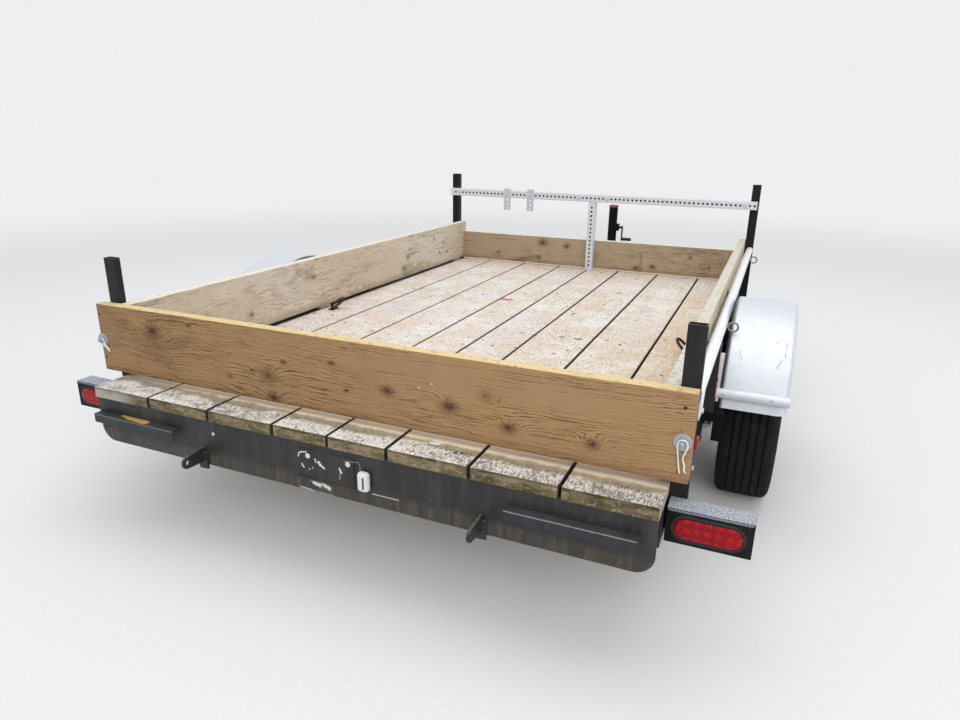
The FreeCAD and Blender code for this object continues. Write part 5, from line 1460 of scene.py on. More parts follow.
@dataclass
class SidePipes:
    """Top pipes along both side boards, pressed flat onto the rear posts, with their eye bolts."""

    shop: Shop
    radius: float = 0.01745
    height: float = 0.705
    round_x: float = 0.9414
    flat_x: float = 0.96155
    flat_half: float = 0.0025
    tail: float = -1.7503
    pressed: float = -1.7096
    round_from: float = -1.5696
    front: float = 0.9068
    eyes: tuple[float, ...] = (0.56, -0.925)

    def pipe(self) -> Surface:
        """Ovals along Y: half width, half height and middle glide from the pressed end to the round pipe."""
        along = np.concatenate([[self.tail], np.linspace(self.pressed - 0.012, self.round_from + 0.02, 40),
                                np.linspace(self.round_from + 0.05, self.front, 30)])
        share = np.clip((along - self.pressed) / (self.round_from - self.pressed), 0.0, 1.0)
        share = share * share * (3 - 2 * share)
        tall = math.pi * self.radius / 2 - self.flat_half
        half_x = self.flat_half + (self.radius - self.flat_half) * share
        half_z = tall + (self.radius - tall) * share
        middle = self.flat_x + (self.round_x - self.flat_x) * share
        angle = np.linspace(0, 2 * math.pi, 40, endpoint=False)
        blunt = (0.55 + 0.45 * share)[:, None]
        wide = np.sign(np.cos(angle)) * np.abs(np.cos(angle))[None, :] ** blunt
        high = np.sign(np.sin(angle)) * np.abs(np.sin(angle))[None, :] ** blunt
        x = middle[:, None] + half_x[:, None] * wide
        flat = np.stack([self.height + half_z[:, None] * high, x], axis=-1)
        return capped(spread(flat, along, Axis.Y))

    def eye(self, y: float) -> Surface:
        """Eye bolt: a ring of wire across the pipe, its shank and a nut."""
        section = circle_loop(0.0036, 12) + np.array([0.016, 0.0])
        return Surface.join([lathe(section, Axis.Y, (0.9795, y, self.height), 44),
                             stud(0.003, 12, 0.953, 0.9645, Axis.X, (y, self.height)),
                             stud(0.0062, 6, 0.9575, 0.9625, Axis.X, (y, self.height), 0.0006)])

    def build(self) -> None:
        """Make both pipes and their eyes."""
        pipe = self.pipe()
        self.shop.piece("side_pipe_pair", [pipe, pipe.mirrored()], "side_pipe", Slot.SILVER, ["side_pipes"])
        for number, y in enumerate(self.eyes):
            eye = self.eye(y)
            self.shop.piece(f"eye_bolt_pair_{number}", [eye, eye.mirrored()], "eye", Slot.ZINC)
        LOG.info("side pipes: 2 pipes, %d eye bolts", 2 * len(self.eyes))


@dataclass
class Perforated:
    """Perforated steel: holes in square cells along a rear face, worked out in length, width and depth."""

    half_width: float
    depth: float
    wall: float
    hole: float
    corner: float
    around: int = 24

    def spans(self, centres: Array, low: float, high: float, share: Array) -> Array:
        """Way along the bar from each hole's middle, for shares of its cell from -1 to 1."""
        halfway = (centres[1:] + centres[:-1]) / 2
        below = centres - np.concatenate([[low], halfway])
        above = np.concatenate([halfway, [high]]) - centres
        return np.where(share > 0, above[:, None], below[:, None]) * share

    def cells(self, centres: Array, low: float, high: float, far: float, far_half: float) -> Surface:
        """Cell faces from the edge of each cell to its hole, through it, and out to the far edge.

        Args:
            centres: each hole's middle along the bar.
            low: the bar's lower end.
            high: its upper end.
            far: depth of the inner face.
            far_half: half width at the inner face.

        Returns:
            The surface in length, width and depth.
        """
        step = np.linspace(-1, 1, self.around // 4, endpoint=False)
        ones = np.ones_like(step)
        u = np.concatenate([ones, -step, -ones, step])
        w = np.concatenate([step, ones, -step, -ones])
        turn = np.arctan2(w, u)
        reach = self.spans(centres, low, high, u)
        bore, rim = self.hole * np.cos(turn) + 0.0 * reach, self.hole * np.sin(turn)
        near_half = self.half_width - self.corner
        rows = [np.stack(np.broadcast_arrays(centres[:, None] + length, width, level), axis=-1)
                for length, width, level in ((reach, near_half * w, 0.0), (bore, rim, 0.0), (bore, rim, far),
                                             (reach, far_half * w, far))]
        return Surface.join([Surface.grid(cell, wrap_u=True) for cell in np.stack(rows, axis=2)])

    def places(self, centres: Array, low: float, high: float) -> Array:
        """Places along the bar where the cells' edges have points."""
        share = np.linspace(-1, 1, self.around // 4 + 1)
        return np.unique(np.round(centres[:, None] + self.spans(centres, low, high, share), 7))

    def strip(self, loop: Array, places: Array) -> Surface:
        """Open loop of (width, depth) points carried along the bar."""
        return Surface.grid(spread(np.broadcast_to(loop, (len(places),) + loop.shape), places, Axis.X))

    def around_loop(self, inset: float, radius: float) -> Array:
        """Width and depth from the rear face's upper edge, round the far side, to its lower edge."""
        middle = self.depth / 2
        loop = round_loop(self.half_width - inset, middle - inset, radius, 3) + np.array([0.0, middle])
        start = int(np.argmin(np.abs(loop[:, 1] - inset) * 10 - loop[:, 0] * 0.001 + (loop[:, 0] < 0) * 10))
        return np.roll(loop, -start, axis=0)

    def tube(self, centres: Array, low: float, high: float) -> Surface:
        """Square tube with the holes in its rear wall."""
        places = self.places(centres, low, high)
        inner_corner = max(self.corner - self.wall, 0.0004)
        outer, inner = self.around_loop(0.0, self.corner), self.around_loop(self.wall, inner_corner)
        far_half = self.half_width - self.wall - inner_corner
        parts = [self.cells(centres, low, high, self.wall, far_half), self.strip(outer, places),
                 self.strip(inner, places)]
        for place in places[[0, -1]]:
            ring = spread(np.stack([outer, inner]), np.full(2, place), Axis.X)
            parts.append(Surface.grid(ring, wrap_v=True))
        return Surface.join(parts)

    def plate(self, centres: Array, low: float, high: float) -> Surface:
        """Flat strip with the holes through it."""
        places = self.places(centres, low, high)
        flat = self.half_width - self.corner
        parts = [self.cells(centres, low, high, self.depth, flat)]
        side = np.array([(flat, 0.0), (self.half_width, self.corner),
                         (self.half_width, self.depth - self.corner), (flat, self.depth)])
        width = np.linspace(-flat, flat, self.around // 4 + 1)
        lid = np.stack([np.stack([width, np.full_like(width, depth)], axis=1) for depth in (0.0, self.depth)])
        for place in places[[0, -1]]:
            parts.append(Surface.grid(spread(lid, np.full(2, place), Axis.X)))
        for sign in SIDES:
            edge = side * np.array([sign, 1.0])
            parts.append(self.strip(edge, places))
            for place in places[[0, -1]]:
                parts.append(Surface.cap(spread(edge[None], np.array([place]), Axis.X)[0]))
        return Surface.join(parts)


@dataclass
class Crossbar:
    """Perforated crossbar on the front posts, its strut, two short strips and the bolts."""

    shop: Shop
    rear: float = 0.86245
    height: float = 0.957
    half_length: float = 0.9525
    pitch: float = 0.0254
    strut_x: float = 0.01
    strut_low: float = 0.5141
    strut_top: float = 0.934675
    strips: tuple[float, ...] = (-0.547, -0.391)
    bolts: tuple[float, ...] = (-0.889, -0.0762, 0.1016, 0.889)

    def finish(self, thing: bpy.types.Object, finish: str, nodes: Sequence[str], across: Axis,
               middle: float) -> None:
        """Mark the inside of a perforated tube, where its finish paints shade so that the holes look dark,
        and dress it.

        Args:
            thing: the tube.
            finish: its finish.
            nodes: nodes that it replaces.
            across: axis across its rear face.
            middle: the tube's middle on that axis.
        """
        points = corners(thing)
        depth = points[:, 1] - self.rear
        aside = np.abs(points[:, across.value] - middle)
        inner = (depth > 0.0008) & (depth < 0.0436) & (aside < 0.0214)
        number_attribute(thing, "inner", inner.astype(float))
        dress(thing, self.shop.get(finish), Body.TRAILER, Slot.ZINC, nodes, sharp=35)

    def build(self) -> None:
        """Make the bar, strut, strips and bolts."""
        tube = Perforated(0.022225, 0.04445, 0.0027, 0.0061, 0.003)
        count = int(2 * self.half_length / self.pitch + 0.001)
        places = (np.arange(count) - (count - 1) / 2) * self.pitch
        bar = tube.tube(places, -self.half_length, self.half_length)
        bar.points = bar.points[:, [0, 2, 1]] + np.array([0.0, self.rear, self.height])
        bar_thing = bar.mesh("crossbar_tube", outward=True)
        self.finish(bar_thing, "galvanised", ["cross_bar"], Axis.Z, self.height)
        first = self.strut_top - 0.033
        holes = np.sort(first - self.pitch * np.arange(15))
        strut = tube.tube(holes, self.strut_low, self.strut_top)
        strut.points = strut.points[:, [1, 2, 0]] + np.array([self.strut_x, self.rear, 0.0])
        self.finish(strut.mesh("strut_tube", outward=True), "galvanised", ["bar_strut"], Axis.X, self.strut_x)
        flat = Perforated(0.023, 0.004, 0.004, 0.00555, 0.0006)
        low = self.height - 0.067 - 0.031
        strips = []
        for x in self.strips:
            strip = flat.plate(low + self.pitch * (np.arange(5) + 0.5), low, low + 0.134)
            strip.points = strip.points[:, [1, 2, 0]] + np.array([x, self.rear - 0.0041, 0.0])
            strips.append(strip)
        self.shop.piece("hanging_strips", strips, "zinc", Slot.ZINC, ["bar_strips"])
        heads = []
        for x in self.bolts:
            heads.append(stud(0.0105, 24, self.rear - 0.0018, self.rear, Axis.Y, (self.height, x)))
            ends = self.rear - 0.0078, self.rear - 0.0017
            heads.append(stud(0.0088, 6, *ends, Axis.Y, (self.height, x), 0.0008))
        for sign in SIDES:
            for z in (0.6, 0.66):
                ends = sorted(self.strut_x + sign * reach for reach in (0.022225, 0.026225))
                heads.append(stud(0.006, 6, *ends, Axis.X, (self.rear + 0.022, z), 0.0006))
        self.shop.piece("crossbar_bolts", heads, "zinc", Slot.ZINC)
        LOG.info("crossbar: bar with %d holes, strut, %d strips", count, len(self.strips))


@dataclass
class Fenders:
    """Round fenders with turned-down edges, on their cross pipes."""

    shop: Shop
    axle_y: float = -0.678
    axle_z: float = 0.305
    crown: float = 0.448
    inner: float = 0.968
    width: float = 0.212
    skin: float = 0.0025
    lip: float = 0.034
    bend: float = 0.016
    round: float = 0.025
    low_angle: float = 22.0
    pipe_radius: float = 0.0165
    pipe_reach: float = 0.411
    pipe_z: float = 0.5221

    def section(self) -> Array:
        """Closed section of (x, radius): up the inner edge, over the crown and back inside the skin."""
        angle = np.linspace(math.pi, math.pi / 2, 7)
        x0, x1 = self.inner, self.inner + self.width
        loops = []
        for skin in (0.0, self.skin):
            bend = self.bend - skin
            level = self.crown - self.bend + bend * np.sin(angle)
            near = np.stack([x0 + self.bend + bend * np.cos(angle), level], 1)
            across = np.linspace(x0 + self.bend, x1 - self.bend, 12)[1:-1]
            top = np.stack([across, np.full_like(across, self.crown - skin)], 1)
            far = near[::-1] * np.array([-1.0, 1.0]) + np.array([x0 + x1, 0.0])
            low = self.crown - self.lip
            start = np.array([[x0 + skin, low], [x0 + skin, low + 0.009]])
            end = start[::-1] * np.array([-1.0, 1.0]) + np.array([x0 + x1, 0.0])
            loops.append(np.concatenate([start, near, top, far, end]))
        return np.concatenate([loops[0], loops[1][::-1]])

    def shell(self) -> Surface:
        """Section swept about the axle, with round outer corners at the ends.

        The sweep stops short by r - sqrt(r^2 - d^2) where the section is d past the start of the round
        corner, and the crown is drawn in a little by slow waves, like old dents.
        """
        section = self.section()
        half = math.radians(90.0 - self.low_angle)
        even = np.linspace(-half, half, 72)[:, None]
        x = np.broadcast_to(section[None, :, 0], (len(even), len(section)))
        past = np.clip(x - (self.inner + self.width - self.round), 0.0, self.round)
        short = (self.round - np.sqrt(self.round ** 2 - past ** 2)) / self.crown
        turn = even * (1.0 - short / half)
        dent = (ripple(x * 9.0, 2.0) * ripple(turn * 3.0 + x, 5.0)) * 0.0022
        dent = dent + 0.0035 * np.exp(-((turn + 0.75) / 0.12) ** 2 - ((x - 1.165) / 0.02) ** 2)
        outer = np.clip((self.inner + self.width - x) / 0.012, 0.35, 1)
        radius = section[None, :, 1] - dent * np.clip((x - self.inner) / 0.03, 0, 1) * outer
        y, z = self.axle_y + radius * np.sin(turn), self.axle_z + radius * np.cos(turn)
        return capped(np.stack([x, y, z], axis=-1))

    def build(self) -> None:
        """Make both fenders, their four pipes, bolts and the red collars."""
        shell = self.shell()
        self.shop.piece("fender_pair", [shell, shell.mirrored()], "fender", Slot.SILVER, ["fenders"], 50.0)
        pipes, collars, heads = [], [], []
        for end in SIDES:
            y = self.axle_y + end * self.pipe_reach
            pipes.append(stud(self.pipe_radius, 40, 0.95905, 1.184, Axis.X, (y, self.pipe_z), 0.0015))
            collars.append(stud(0.0265, 40, 0.9594, 0.9624, Axis.X, (y, self.pipe_z), 0.0008))
        back = self.axle_y - self.pipe_reach - self.pipe_radius
        for x, size in ((1.131, 0.0062), (0.984, 0.0038)):
            ends = back - 0.003, back + 0.0012
            heads.append(stud(size, 6, *ends, Axis.Y, (self.pipe_z + 0.003, x), 0.0008))
        for name, parts, finish, slot, nodes in (
                ("fender_pipe_set", pipes, "silver", Slot.SILVER, ["fender_pipes"]),
                ("pipe_collars", collars, "collar", Slot.RED, []),
                ("pipe_bolts", heads, "zinc", Slot.ZINC, [])):
            one = Surface.join(parts)
            self.shop.piece(name, [one, one.mirrored()], finish, slot, nodes)
        LOG.info("fenders: 2 shells, 4 pipes")


@dataclass
class Lamps:
    """Oval tail lamps in rubber rings, side reflectors and the white plate lamp."""

    shop: Shop
    middle_x: float = 1.0184
    middle_z: float = 0.425
    rear: float = -1.8132
    straight: float = 0.052
    radius: float = 0.0265

    def rings(self, profile: Array, steps: int = 16) -> Array:
        """Stadium rings: each profile point is a radius about both ends' centres, and a place along Y."""
        angle = np.concatenate([np.linspace(-math.pi / 2, math.pi / 2, steps),
                                np.linspace(math.pi / 2, 3 * math.pi / 2, steps)])
        shift = np.where(np.arange(2 * steps) < steps, self.straight, -self.straight)
        x = self.middle_x + shift[None, :] + profile[:, :1] * np.cos(angle)[None, :]
        z = self.middle_z + profile[:, :1] * np.sin(angle)[None, :]
        y = np.broadcast_to(profile[:, 1:], x.shape)
        return np.stack([x, y, z], axis=-1)

    def lens(self) -> Surface:
        """Lens: a shallow dome that falls off at its rim, and a plain body behind."""
        share = np.sin(np.linspace(0.0, math.pi / 2, 12))
        dome = np.stack([self.radius * share, self.rear - 0.007 + 0.003 * share ** 8], axis=1)
        body = np.array([[self.radius, self.rear - 0.003], [self.radius, self.rear + 0.02]])
        points = self.rings(np.concatenate([dome, body]))
        return Surface.join([Surface.grid(points, wrap_v=True), Surface.cap(points[-1])])

    def grommet(self) -> Surface:
        """Rubber ring: a rounded bead round the lens."""
        angle = np.linspace(math.pi, 0.0, 9)
        inner, outer = self.radius + 0.0002, self.radius + 0.009
        middle, half = (inner + outer) / 2, (outer - inner) / 2
        y = self.rear - 0.0001 - 0.004 * np.sin(angle) ** 0.6
        bead = np.stack([middle + half * np.cos(angle), y], axis=1)
        return Surface.grid(self.rings(bead), wrap_u=True, wrap_v=True)

    def build(self) -> None:
        """Make the lamps on both sides."""
        for sign, side in ((1, "right"), (-1, "left")):
            lens = self.lens() if sign > 0 else self.lens().mirrored()
            thing = lens.mesh("tail_lens_" + side, outward=True)
            local = corners(thing) - np.array([sign * self.middle_x, self.rear, self.middle_z])
            vector_attribute(thing, "lamp", local[:, [0, 2, 1]])
            dress(thing, self.shop.get("lens"), Body.TRAILER, Slot.RED, ["lamp_lenses"], sharp=45)
        bead = self.grommet()
        self.shop.piece("lens_rings", [bead, bead.mirrored()], "rubber", Slot.RUBBER, ["lamp_grommets"], 60.0)
        marker = rounded_block((0.95905, -1.7533, 0.605), (0.968, -1.7313, 0.635), 0.0025)
        markers = [marker, marker.mirrored().moved((0.0, 0.0, -0.019))]
        self.shop.piece("side_reflectors", markers, "marker", Slot.RED, ["side_markers"], 40.0)
        lamp = rounded_block((0.104, -1.9151, 0.372), (0.14, -1.8911, 0.432), 0.0115, rings=4)
        self.shop.piece("plate_lamp_body", [lamp], "white", Slot.WHITE, ["plate_lamp"], 40.0)
        window = rounded_block((0.1235, -1.9155, 0.384), (0.13, -1.9135, 0.42), 0.0009)
        self.shop.piece("plate_lamp_window", [window], "window", Slot.WHITE, [], 40.0)
        LOG.info("lamps: 2 tail lamps, 2 reflectors, plate lamp")


@dataclass
class Wheel:
    """Tyre, pressed wheel and hub of one side, worked out along its own axle line."""

    shop: Shop
    sign: int
    x: float = 1.0775
    axle_y: float = -0.678
    axle_z: float = 0.305
    radius: float = 0.305
    grooves: tuple[float, ...] = (-0.054, -0.027, 0.0, 0.027, 0.054)

    def tyre(self) -> Surface:
        """Carcass section carried round the axle.

        The radius falls by 6 mm inside each straight groove, whose walls sway by a small zigzag, and the
        shoulder is notched; the sidewall bulges outwards between the bead and the tread.
        """
        tread = np.linspace(-0.071, 0.071, 101)
        shoulder = np.linspace(0.0, math.pi / 2, 9)[1:]
        out = np.stack([0.071 + 0.0255 * np.sin(shoulder), 0.303 - 0.04 * (1 - np.cos(shoulder))], 1)
        fall = np.linspace(0.0, 1.0, 12)[1:]
        wall = np.stack([0.0965 - 0.0325 * fall ** 2.4, 0.263 - 0.0805 * fall], 1)
        wall[:, 0] += 0.0008 * (np.abs(wall[:, 1] - 0.235) < 0.006)
        bead = np.array([[0.063, 0.1806], [0.063, 0.1656]])
        edge = np.concatenate([out, wall, bead])
        crown = np.stack([tread, 0.305 - 0.002 * (tread / 0.071) ** 2], 1)
        section = np.concatenate([edge[::-1] * np.array([-1.0, 1.0]), crown, edge])
        turn = np.linspace(0, 2 * math.pi, 300, endpoint=False)[:, None]
        across, radius = section[None, :, 0], np.repeat(section[None, :, 1], 300, axis=0)
        sway = 0.0011 * np.sign(np.sin(turn * 75))
        for groove in self.grooves:
            depth = np.clip(1.0 - (np.abs(across - groove - sway) - 0.0016) / 0.0011, 0.0, 1.0)
            radius = radius - 0.006 * depth * (np.abs(across) < 0.069)
        notch = (np.sin(turn * 60) > 0.55) * (np.abs(across) > 0.066) * (radius > 0.28)
        radius = radius - 0.003 * notch
        across = np.broadcast_to(across, radius.shape)
        points = np.stack([across, radius * np.cos(turn), radius * np.sin(turn)], -1)
        return Surface.grid(points, wrap_u=True, wrap_v=True)

    def rim(self) -> Surface:
        """Pressed wheel: flanged barrel with a drop centre, and a dished disc that turns up to it."""
        barrel = np.array([(0.1619, -0.067), (0.1745, -0.0673), (0.1795, -0.0664), (0.18, -0.065),
                           (0.179, -0.0636), (0.17, -0.0636), (0.1652, -0.062), (0.165, -0.05),
                           (0.152, -0.036), (0.152, 0.01), (0.165, 0.028), (0.165, 0.062),
                           (0.17, 0.0636), (0.179, 0.0636), (0.18, 0.065), (0.1795, 0.0664),
                           (0.1745, 0.0673), (0.1619, 0.067), (0.16, 0.06), (0.1615, 0.033),
                           (0.149, 0.013), (0.149, -0.039), (0.1615, -0.052), (0.16, -0.06)])
        out = np.linspace(0.0, 1.0, 18)
        rise = 0.02 * (1 - np.cos(np.clip((out - 0.34) / 0.28, 0, 1) * math.pi)) / 2
        fall = 0.008 * np.clip((out - 0.8) / 0.2, 0, 1) ** 2
        reach = 0.033 + (0.1505 - 0.033) * out
        front = np.stack([reach, 0.005 + rise - fall], 1)
        back = np.stack([reach, rise - fall], 1)
        disc = np.concatenate([front, back[::-1]])
        return Surface.join([lathe(profile, Axis.X, (0.0, 0.0, 0.0), 120) for profile in (barrel, disc)])

    def valve(self) -> Surface:
        """Short rubber valve stem through the disc."""
        profile = np.array([(0.0, 0.01), (0.0055, 0.01), (0.005, 0.022), (0.0032, 0.026), (0.0032, 0.04),
                            (0.0, 0.04)])
        return lathe(profile, Axis.X, (0.0, 0.136, 0.0), 16, closed=False)

    def build(self) -> None:
        """Make the tyre, wheel, hub and valve."""
        side, body = ("right", Body.WHEEL_RIGHT) if self.sign > 0 else ("left", Body.WHEEL_LEFT)
        for name, surface, finish, slot, nodes in (
                ("tyre_carcass_", self.tyre(), "tyre", Slot.TYRE, ["tyre_" + side]),
                ("pressed_wheel_", self.rim(), "rim", Slot.RIM, ["rim_" + side]),
                ("valve_stem_", self.valve(), "rubber", Slot.RUBBER, [])):
            turned = surface if self.sign > 0 else surface.mirrored()
            placed = turned.moved((self.sign * self.x, self.axle_y, self.axle_z))
            self.shop.piece(name + side, [placed], finish, slot, nodes, 38.0, body)
        softened("hub_" + side, "hub_piece_" + side, self.shop.get("galvanised"), body, Slot.ZINC, 0.0008)
        LOG.info("wheel %s: tyre, wheel, hub, valve", side)


def smooth_path(places: Array, count: int = 90, passes: int = 3) -> Array:
    """Even points along a broken line, then a moving mean that keeps both ends: a softly bent wire.

    Args:
        places: corner points by three.
        count: points along the result.
        passes: times that the mean is taken.

    Returns:
        Points by three.
    """
    gaps = np.linalg.norm(np.diff(places, axis=0), axis=1)
    run = np.concatenate([[0.0], np.cumsum(gaps)])
    even = np.linspace(0.0, run[-1], count)
    path = np.stack([np.interp(even, run, places[:, k]) for k in range(3)], axis=1)
    for _ in range(passes):
        padded = np.concatenate([path[:1].repeat(3, 0), path, path[-1:].repeat(3, 0)])
        mean = np.stack([np.convolve(padded[:, k], np.ones(7) / 7, "valid") for k in range(3)], axis=1)
        path = np.concatenate([path[:1], mean[1:-1], path[-1:]])
    return path


@dataclass
class Fittings:
    """Tailgate pins with washers and clips, deck rings, screws and bolt heads."""

    shop: Shop
    gate_rear: float = -1.793
    pin_z: float = 0.638
    pins: Spot = (-0.97285, 0.936625)
    ring_x: float = 0.824
    ring_y: float = -0.686
    ring_size: float = 0.035
    ring_wire: float = 0.0056
    deck: float = 0.5141

    def pin(self, x: float) -> Surface:
        """Pin with domed ends, and its washer with a rolled rim."""
        end = np.linspace(0.0, math.pi / 2, 5)
        tail = np.stack([0.0058 * np.sin(end), -1.813 + 0.003 * (1 - np.cos(end))], 1)
        nose = np.stack([0.0058 * np.cos(end), -1.725 + 0.0015 * np.sin(end)], 1)
        rod = lathe(np.concatenate([tail, nose]), Axis.Y, (x, 0.0, self.pin_z), 24, closed=False)
        flat = np.array([(0.0066, -1.7931), (0.0066, -1.7956), (0.012, -1.7958), (0.021, -1.7955),
                         (0.0219, -1.7948), (0.0219, -1.7936), (0.0212, -1.7931)])
        washer = lathe(flat, Axis.Y, (x, 0.0, self.pin_z), 48)
        return Surface.join([rod, washer])

    def clip(self, x: float, turn: float, size: float) -> Surface:
        """Hairpin clip over the pin: one straight leg, one waved leg, turned about the pin."""
        bends = np.array([(-0.004, -0.078), (-0.0085, -0.04), (-0.0115, -0.006), (-0.0085, 0.005),
                          (0.0, 0.0092), (0.0095, 0.006), (0.0135, -0.006), (0.0085, -0.022),
                          (0.0015, -0.036), (0.0035, -0.047), (0.0085, -0.055), (0.005, -0.066),
                          (0.0105, -0.074)]) * size
        swing = np.array([[math.cos(turn), -math.sin(turn)], [math.sin(turn), math.cos(turn)]])
        bends = bends @ swing.T
        depth = np.linspace(-1.7995, -1.802, len(bends))
        path = np.stack([x + bends[:, 0], depth, self.pin_z + bends[:, 1]], axis=1)
        return wire(smooth_path(path, 110, 2), 0.0019, (0.0, 1.0, 0.0))

    def ring(self) -> Surface:
        """Deck ring: a wire ring that leans inwards from the strap over its base plate, with two screws."""
        section = circle_loop(self.ring_wire, 16) + np.array([self.ring_size, 0.0])
        loop = lathe(section, Axis.Z, (-self.ring_size, 0.0, 0.0), 56)
        lean = math.sqrt(0.5)
        turn = np.array([[lean, 0.0, lean], [0.0, 1.0, 0.0], [-lean, 0.0, lean]])
        top = self.deck + 0.004
        loop.points = loop.points @ turn.T + np.array([self.ring_x, self.ring_y, top + 0.0045])
        plate = rounded_block((self.ring_x - 0.015, self.ring_y - 0.026, self.deck),
                              (self.ring_x + 0.015, self.ring_y + 0.026, top), 0.0012)
        arch = np.linspace(0.0, math.pi, 13)
        strap = np.stack([top + 0.0083 * np.sin(arch), self.ring_x + 0.0085 * np.cos(arch)], 1)
        cover = capped(spread(np.stack([strap, strap]), self.ring_y + np.array([-0.013, 0.013]), Axis.Y))
        heads = [stud(0.0042, 16, top - 0.0005, top + 0.002, Axis.Z, (self.ring_x, self.ring_y + y), 0.001)
                 for y in (-0.0195, 0.0195)]
        return Surface.join([loop, plate, cover, *heads])

    def heads(self) -> None:
        """Bolt heads on the rear beam and posts, and screws in the tailgate."""
        dome = np.array([(0.0, -1.8962), (0.004, -1.8958), (0.0075, -1.8942), (0.0095, -1.8911)])
        beam = [lathe(dome, Axis.Y, (x, 0.0, z), 24, closed=False)
                for x, z in ((-0.071, 0.4356), (0.0645, 0.437))]
        self.shop.piece("beam_bolt_heads", beam, "white", Slot.WHITE, sharp=60.0)
        bolts = [stud(0.006, 6, -1.895, -1.8911, Axis.Y, (0.436, -0.4208), 0.0006)]
        for sign in SIDES:
            for y, z, x in ((-1.725, 0.697, 0.96405), (-1.742, 0.552, 0.95895)):
                bolts.append(stud(0.0068, 6, *sorted((sign * x, sign * (x + 0.005))), Axis.X, (y, z), 0.0006))
        self.shop.piece("frame_bolt_heads", bolts, "zinc", Slot.ZINC)
        screws = [stud(0.0042, 16, -1.794, -1.7925, Axis.Y, (z, x), 0.0004)
                  for x, z in ((0.9334, 0.7233), (-0.972, 0.7257), (-0.97, 0.5755), (0.9334, 0.56))]
        self.shop.piece("tailgate_screws", screws, "iron", Slot.FRAME)

    def build(self) -> None:
        """Make every fitting."""
        self.shop.piece("tailgate_pins", [self.pin(x) for x in self.pins], "washer", Slot.ZINC, ["gate_pins"])
        clips = [self.clip(self.pins[1], 0.05, 1.0), self.clip(self.pins[0], 0.75, 0.62)]
        self.shop.piece("pin_clips", clips, "bright", Slot.ZINC, sharp=60.0)
        ring = self.ring()
        self.shop.piece("deck_ring_pair", [ring, ring.mirrored()], "iron", Slot.FRAME, ["deck_rings"], 40.0)
        self.heads()
        LOG.info("fittings: pins, clips, rings, heads")


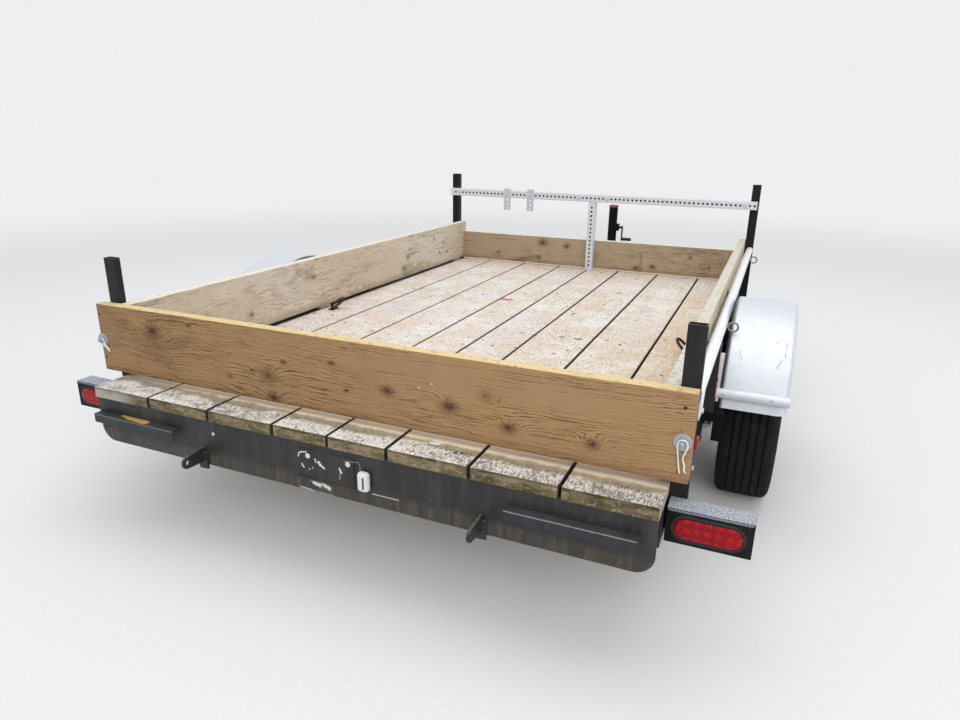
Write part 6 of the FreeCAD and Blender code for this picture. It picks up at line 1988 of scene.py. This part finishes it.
@dataclass
class Studio:
    """Pale floor, soft lamps and the camera at the photograph's angle."""

    place: Point = (1.068784, -3.307464, 1.31)
    yaw: float = 0.4059080589923796
    pitch: float = -0.3193034366368189
    roll: float = 0.014320780430240394
    lens: float = 677.37237402617 * 36.0 / 960.0
    pale: float = 0.86

    def floor(self) -> None:
        """Pale floor that fades into the backdrop for the camera far from the trailer."""
        reach = np.linspace(-30.0, 30.0, 7)
        first, second = np.meshgrid(reach, reach, indexing="ij")
        thing = Surface.grid(np.stack([first, second, np.zeros_like(first)], axis=-1)).mesh("floor")
        tree = Tree("floor_pale")
        tree.colour = tree.mix(0.5, (self.pale - 0.06,) * 3, (self.pale - 0.08,) * 3)
        tree.dim(0.97 + tree.noise(60.0, 5.0, 0.6) * 0.06)
        matt = tree.node("ShaderNodeBsdfDiffuse", None, {"Color": tree.colour, "Roughness": 0.9})
        glow = tree.node("ShaderNodeEmission", None, {"Color": (self.pale, self.pale, self.pale, 1.0)})
        seen = tree.node("ShaderNodeLightPath", output="Is Camera Ray")
        shiny = tree.node("ShaderNodeLightPath", output="Is Glossy Ray")
        far = tree.vector("DISTANCE", tree.home, (0.0, 0.0, 0.0), "Value").ramp(4.5, 11.0)
        shown = tree.math("MAXIMUM", seen, shiny) * far
        tree.show(tree.node("ShaderNodeMixShader", None, {0: shown, 1: matt, 2: glow}))
        thing.data.materials.append(tree.material)

    def lamp(self, name: str, place: Point, target: Point, size: float, power: float, colour: Colour) -> None:
        """A square soft lamp that looks at a point."""
        data = bpy.data.lights.new(name, "AREA")
        data.size = size
        data.energy = power
        data.color = colour
        thing = bpy.data.objects.new(name, data)
        thing.location = place
        thing.rotation_euler = (Vector(target) - Vector(place)).to_track_quat("-Z", "Y").to_euler()
        bpy.context.scene.collection.objects.link(thing)

    def world(self) -> None:
        """Even soft light all round, and a pale backdrop for the camera and in reflections."""
        world = bpy.data.worlds.new("studio")
        bpy.context.scene.world = world
        world.use_nodes = True
        nodes, links = world.node_tree.nodes, world.node_tree.links
        nodes.clear()
        path = nodes.new("ShaderNodeLightPath")
        soft, back = nodes.new("ShaderNodeBackground"), nodes.new("ShaderNodeBackground")
        soft.inputs["Color"].default_value = (0.96, 0.98, 1.0, 1.0)
        soft.inputs["Strength"].default_value = 0.8
        back.inputs["Color"].default_value = (self.pale, self.pale, self.pale, 1.0)
        mixed, out = nodes.new("ShaderNodeMixShader"), nodes.new("ShaderNodeOutputWorld")
        links.new(path.outputs["Is Camera Ray"], mixed.inputs[0])
        links.new(soft.outputs[0], mixed.inputs[1])
        links.new(back.outputs[0], mixed.inputs[2])
        links.new(mixed.outputs[0], out.inputs["Surface"])

    def camera(self) -> None:
        """Camera placed by its fitted heading, tilt and roll."""
        data = bpy.data.cameras.new("photo_camera")
        data.sensor_fit = "HORIZONTAL"
        data.sensor_width = 36.0
        data.lens = self.lens
        data.clip_end = 200.0
        thing = bpy.data.objects.new("photo_camera", data)
        turns = ((self.yaw, "Z"), (math.pi / 2 + self.pitch, "X"), (self.roll, "Z"))
        heading, tilt, lean = (Matrix.Rotation(angle, 4, axis) for angle, axis in turns)
        thing.matrix_world = Matrix.Translation(self.place) @ heading @ tilt @ lean
        bpy.context.scene.collection.objects.link(thing)
        bpy.context.scene.camera = thing

    def build(self) -> None:
        """Set the floor, lamps, backdrop and camera."""
        self.floor()
        self.world()
        self.lamp("sky_lamp", (0.5, -1.0, 5.5), (0.0, -0.2, 0.5), 5.0, 130.0, (1.0, 1.0, 1.0))
        self.lamp("rear_lamp", (2.8, -5.5, 3.2), (0.0, -1.5, 0.5), 3.0, 60.0, (1.0, 0.99, 0.97))
        self.camera()
        scene = bpy.context.scene
        scene.view_settings.view_transform = "Standard"
        LOG.info("studio: floor, 2 lamps, camera")


def main() -> None:
    """Build the studio and every sub-assembly."""
    logging.basicConfig(level=logging.INFO, format="%(name)s: %(message)s")
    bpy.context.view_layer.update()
    shop = Shop()
    Studio().build()
    Deck(shop).build()
    LoadSides(shop).build()
    Steelwork(shop).build()
    SidePipes(shop).build()
    Crossbar(shop).build()
    Fenders(shop).build()
    Lamps(shop).build()
    for sign in SIDES:
        Wheel(shop, sign).build()
    Fittings(shop).build()


if __name__ == "__main__":
    main()
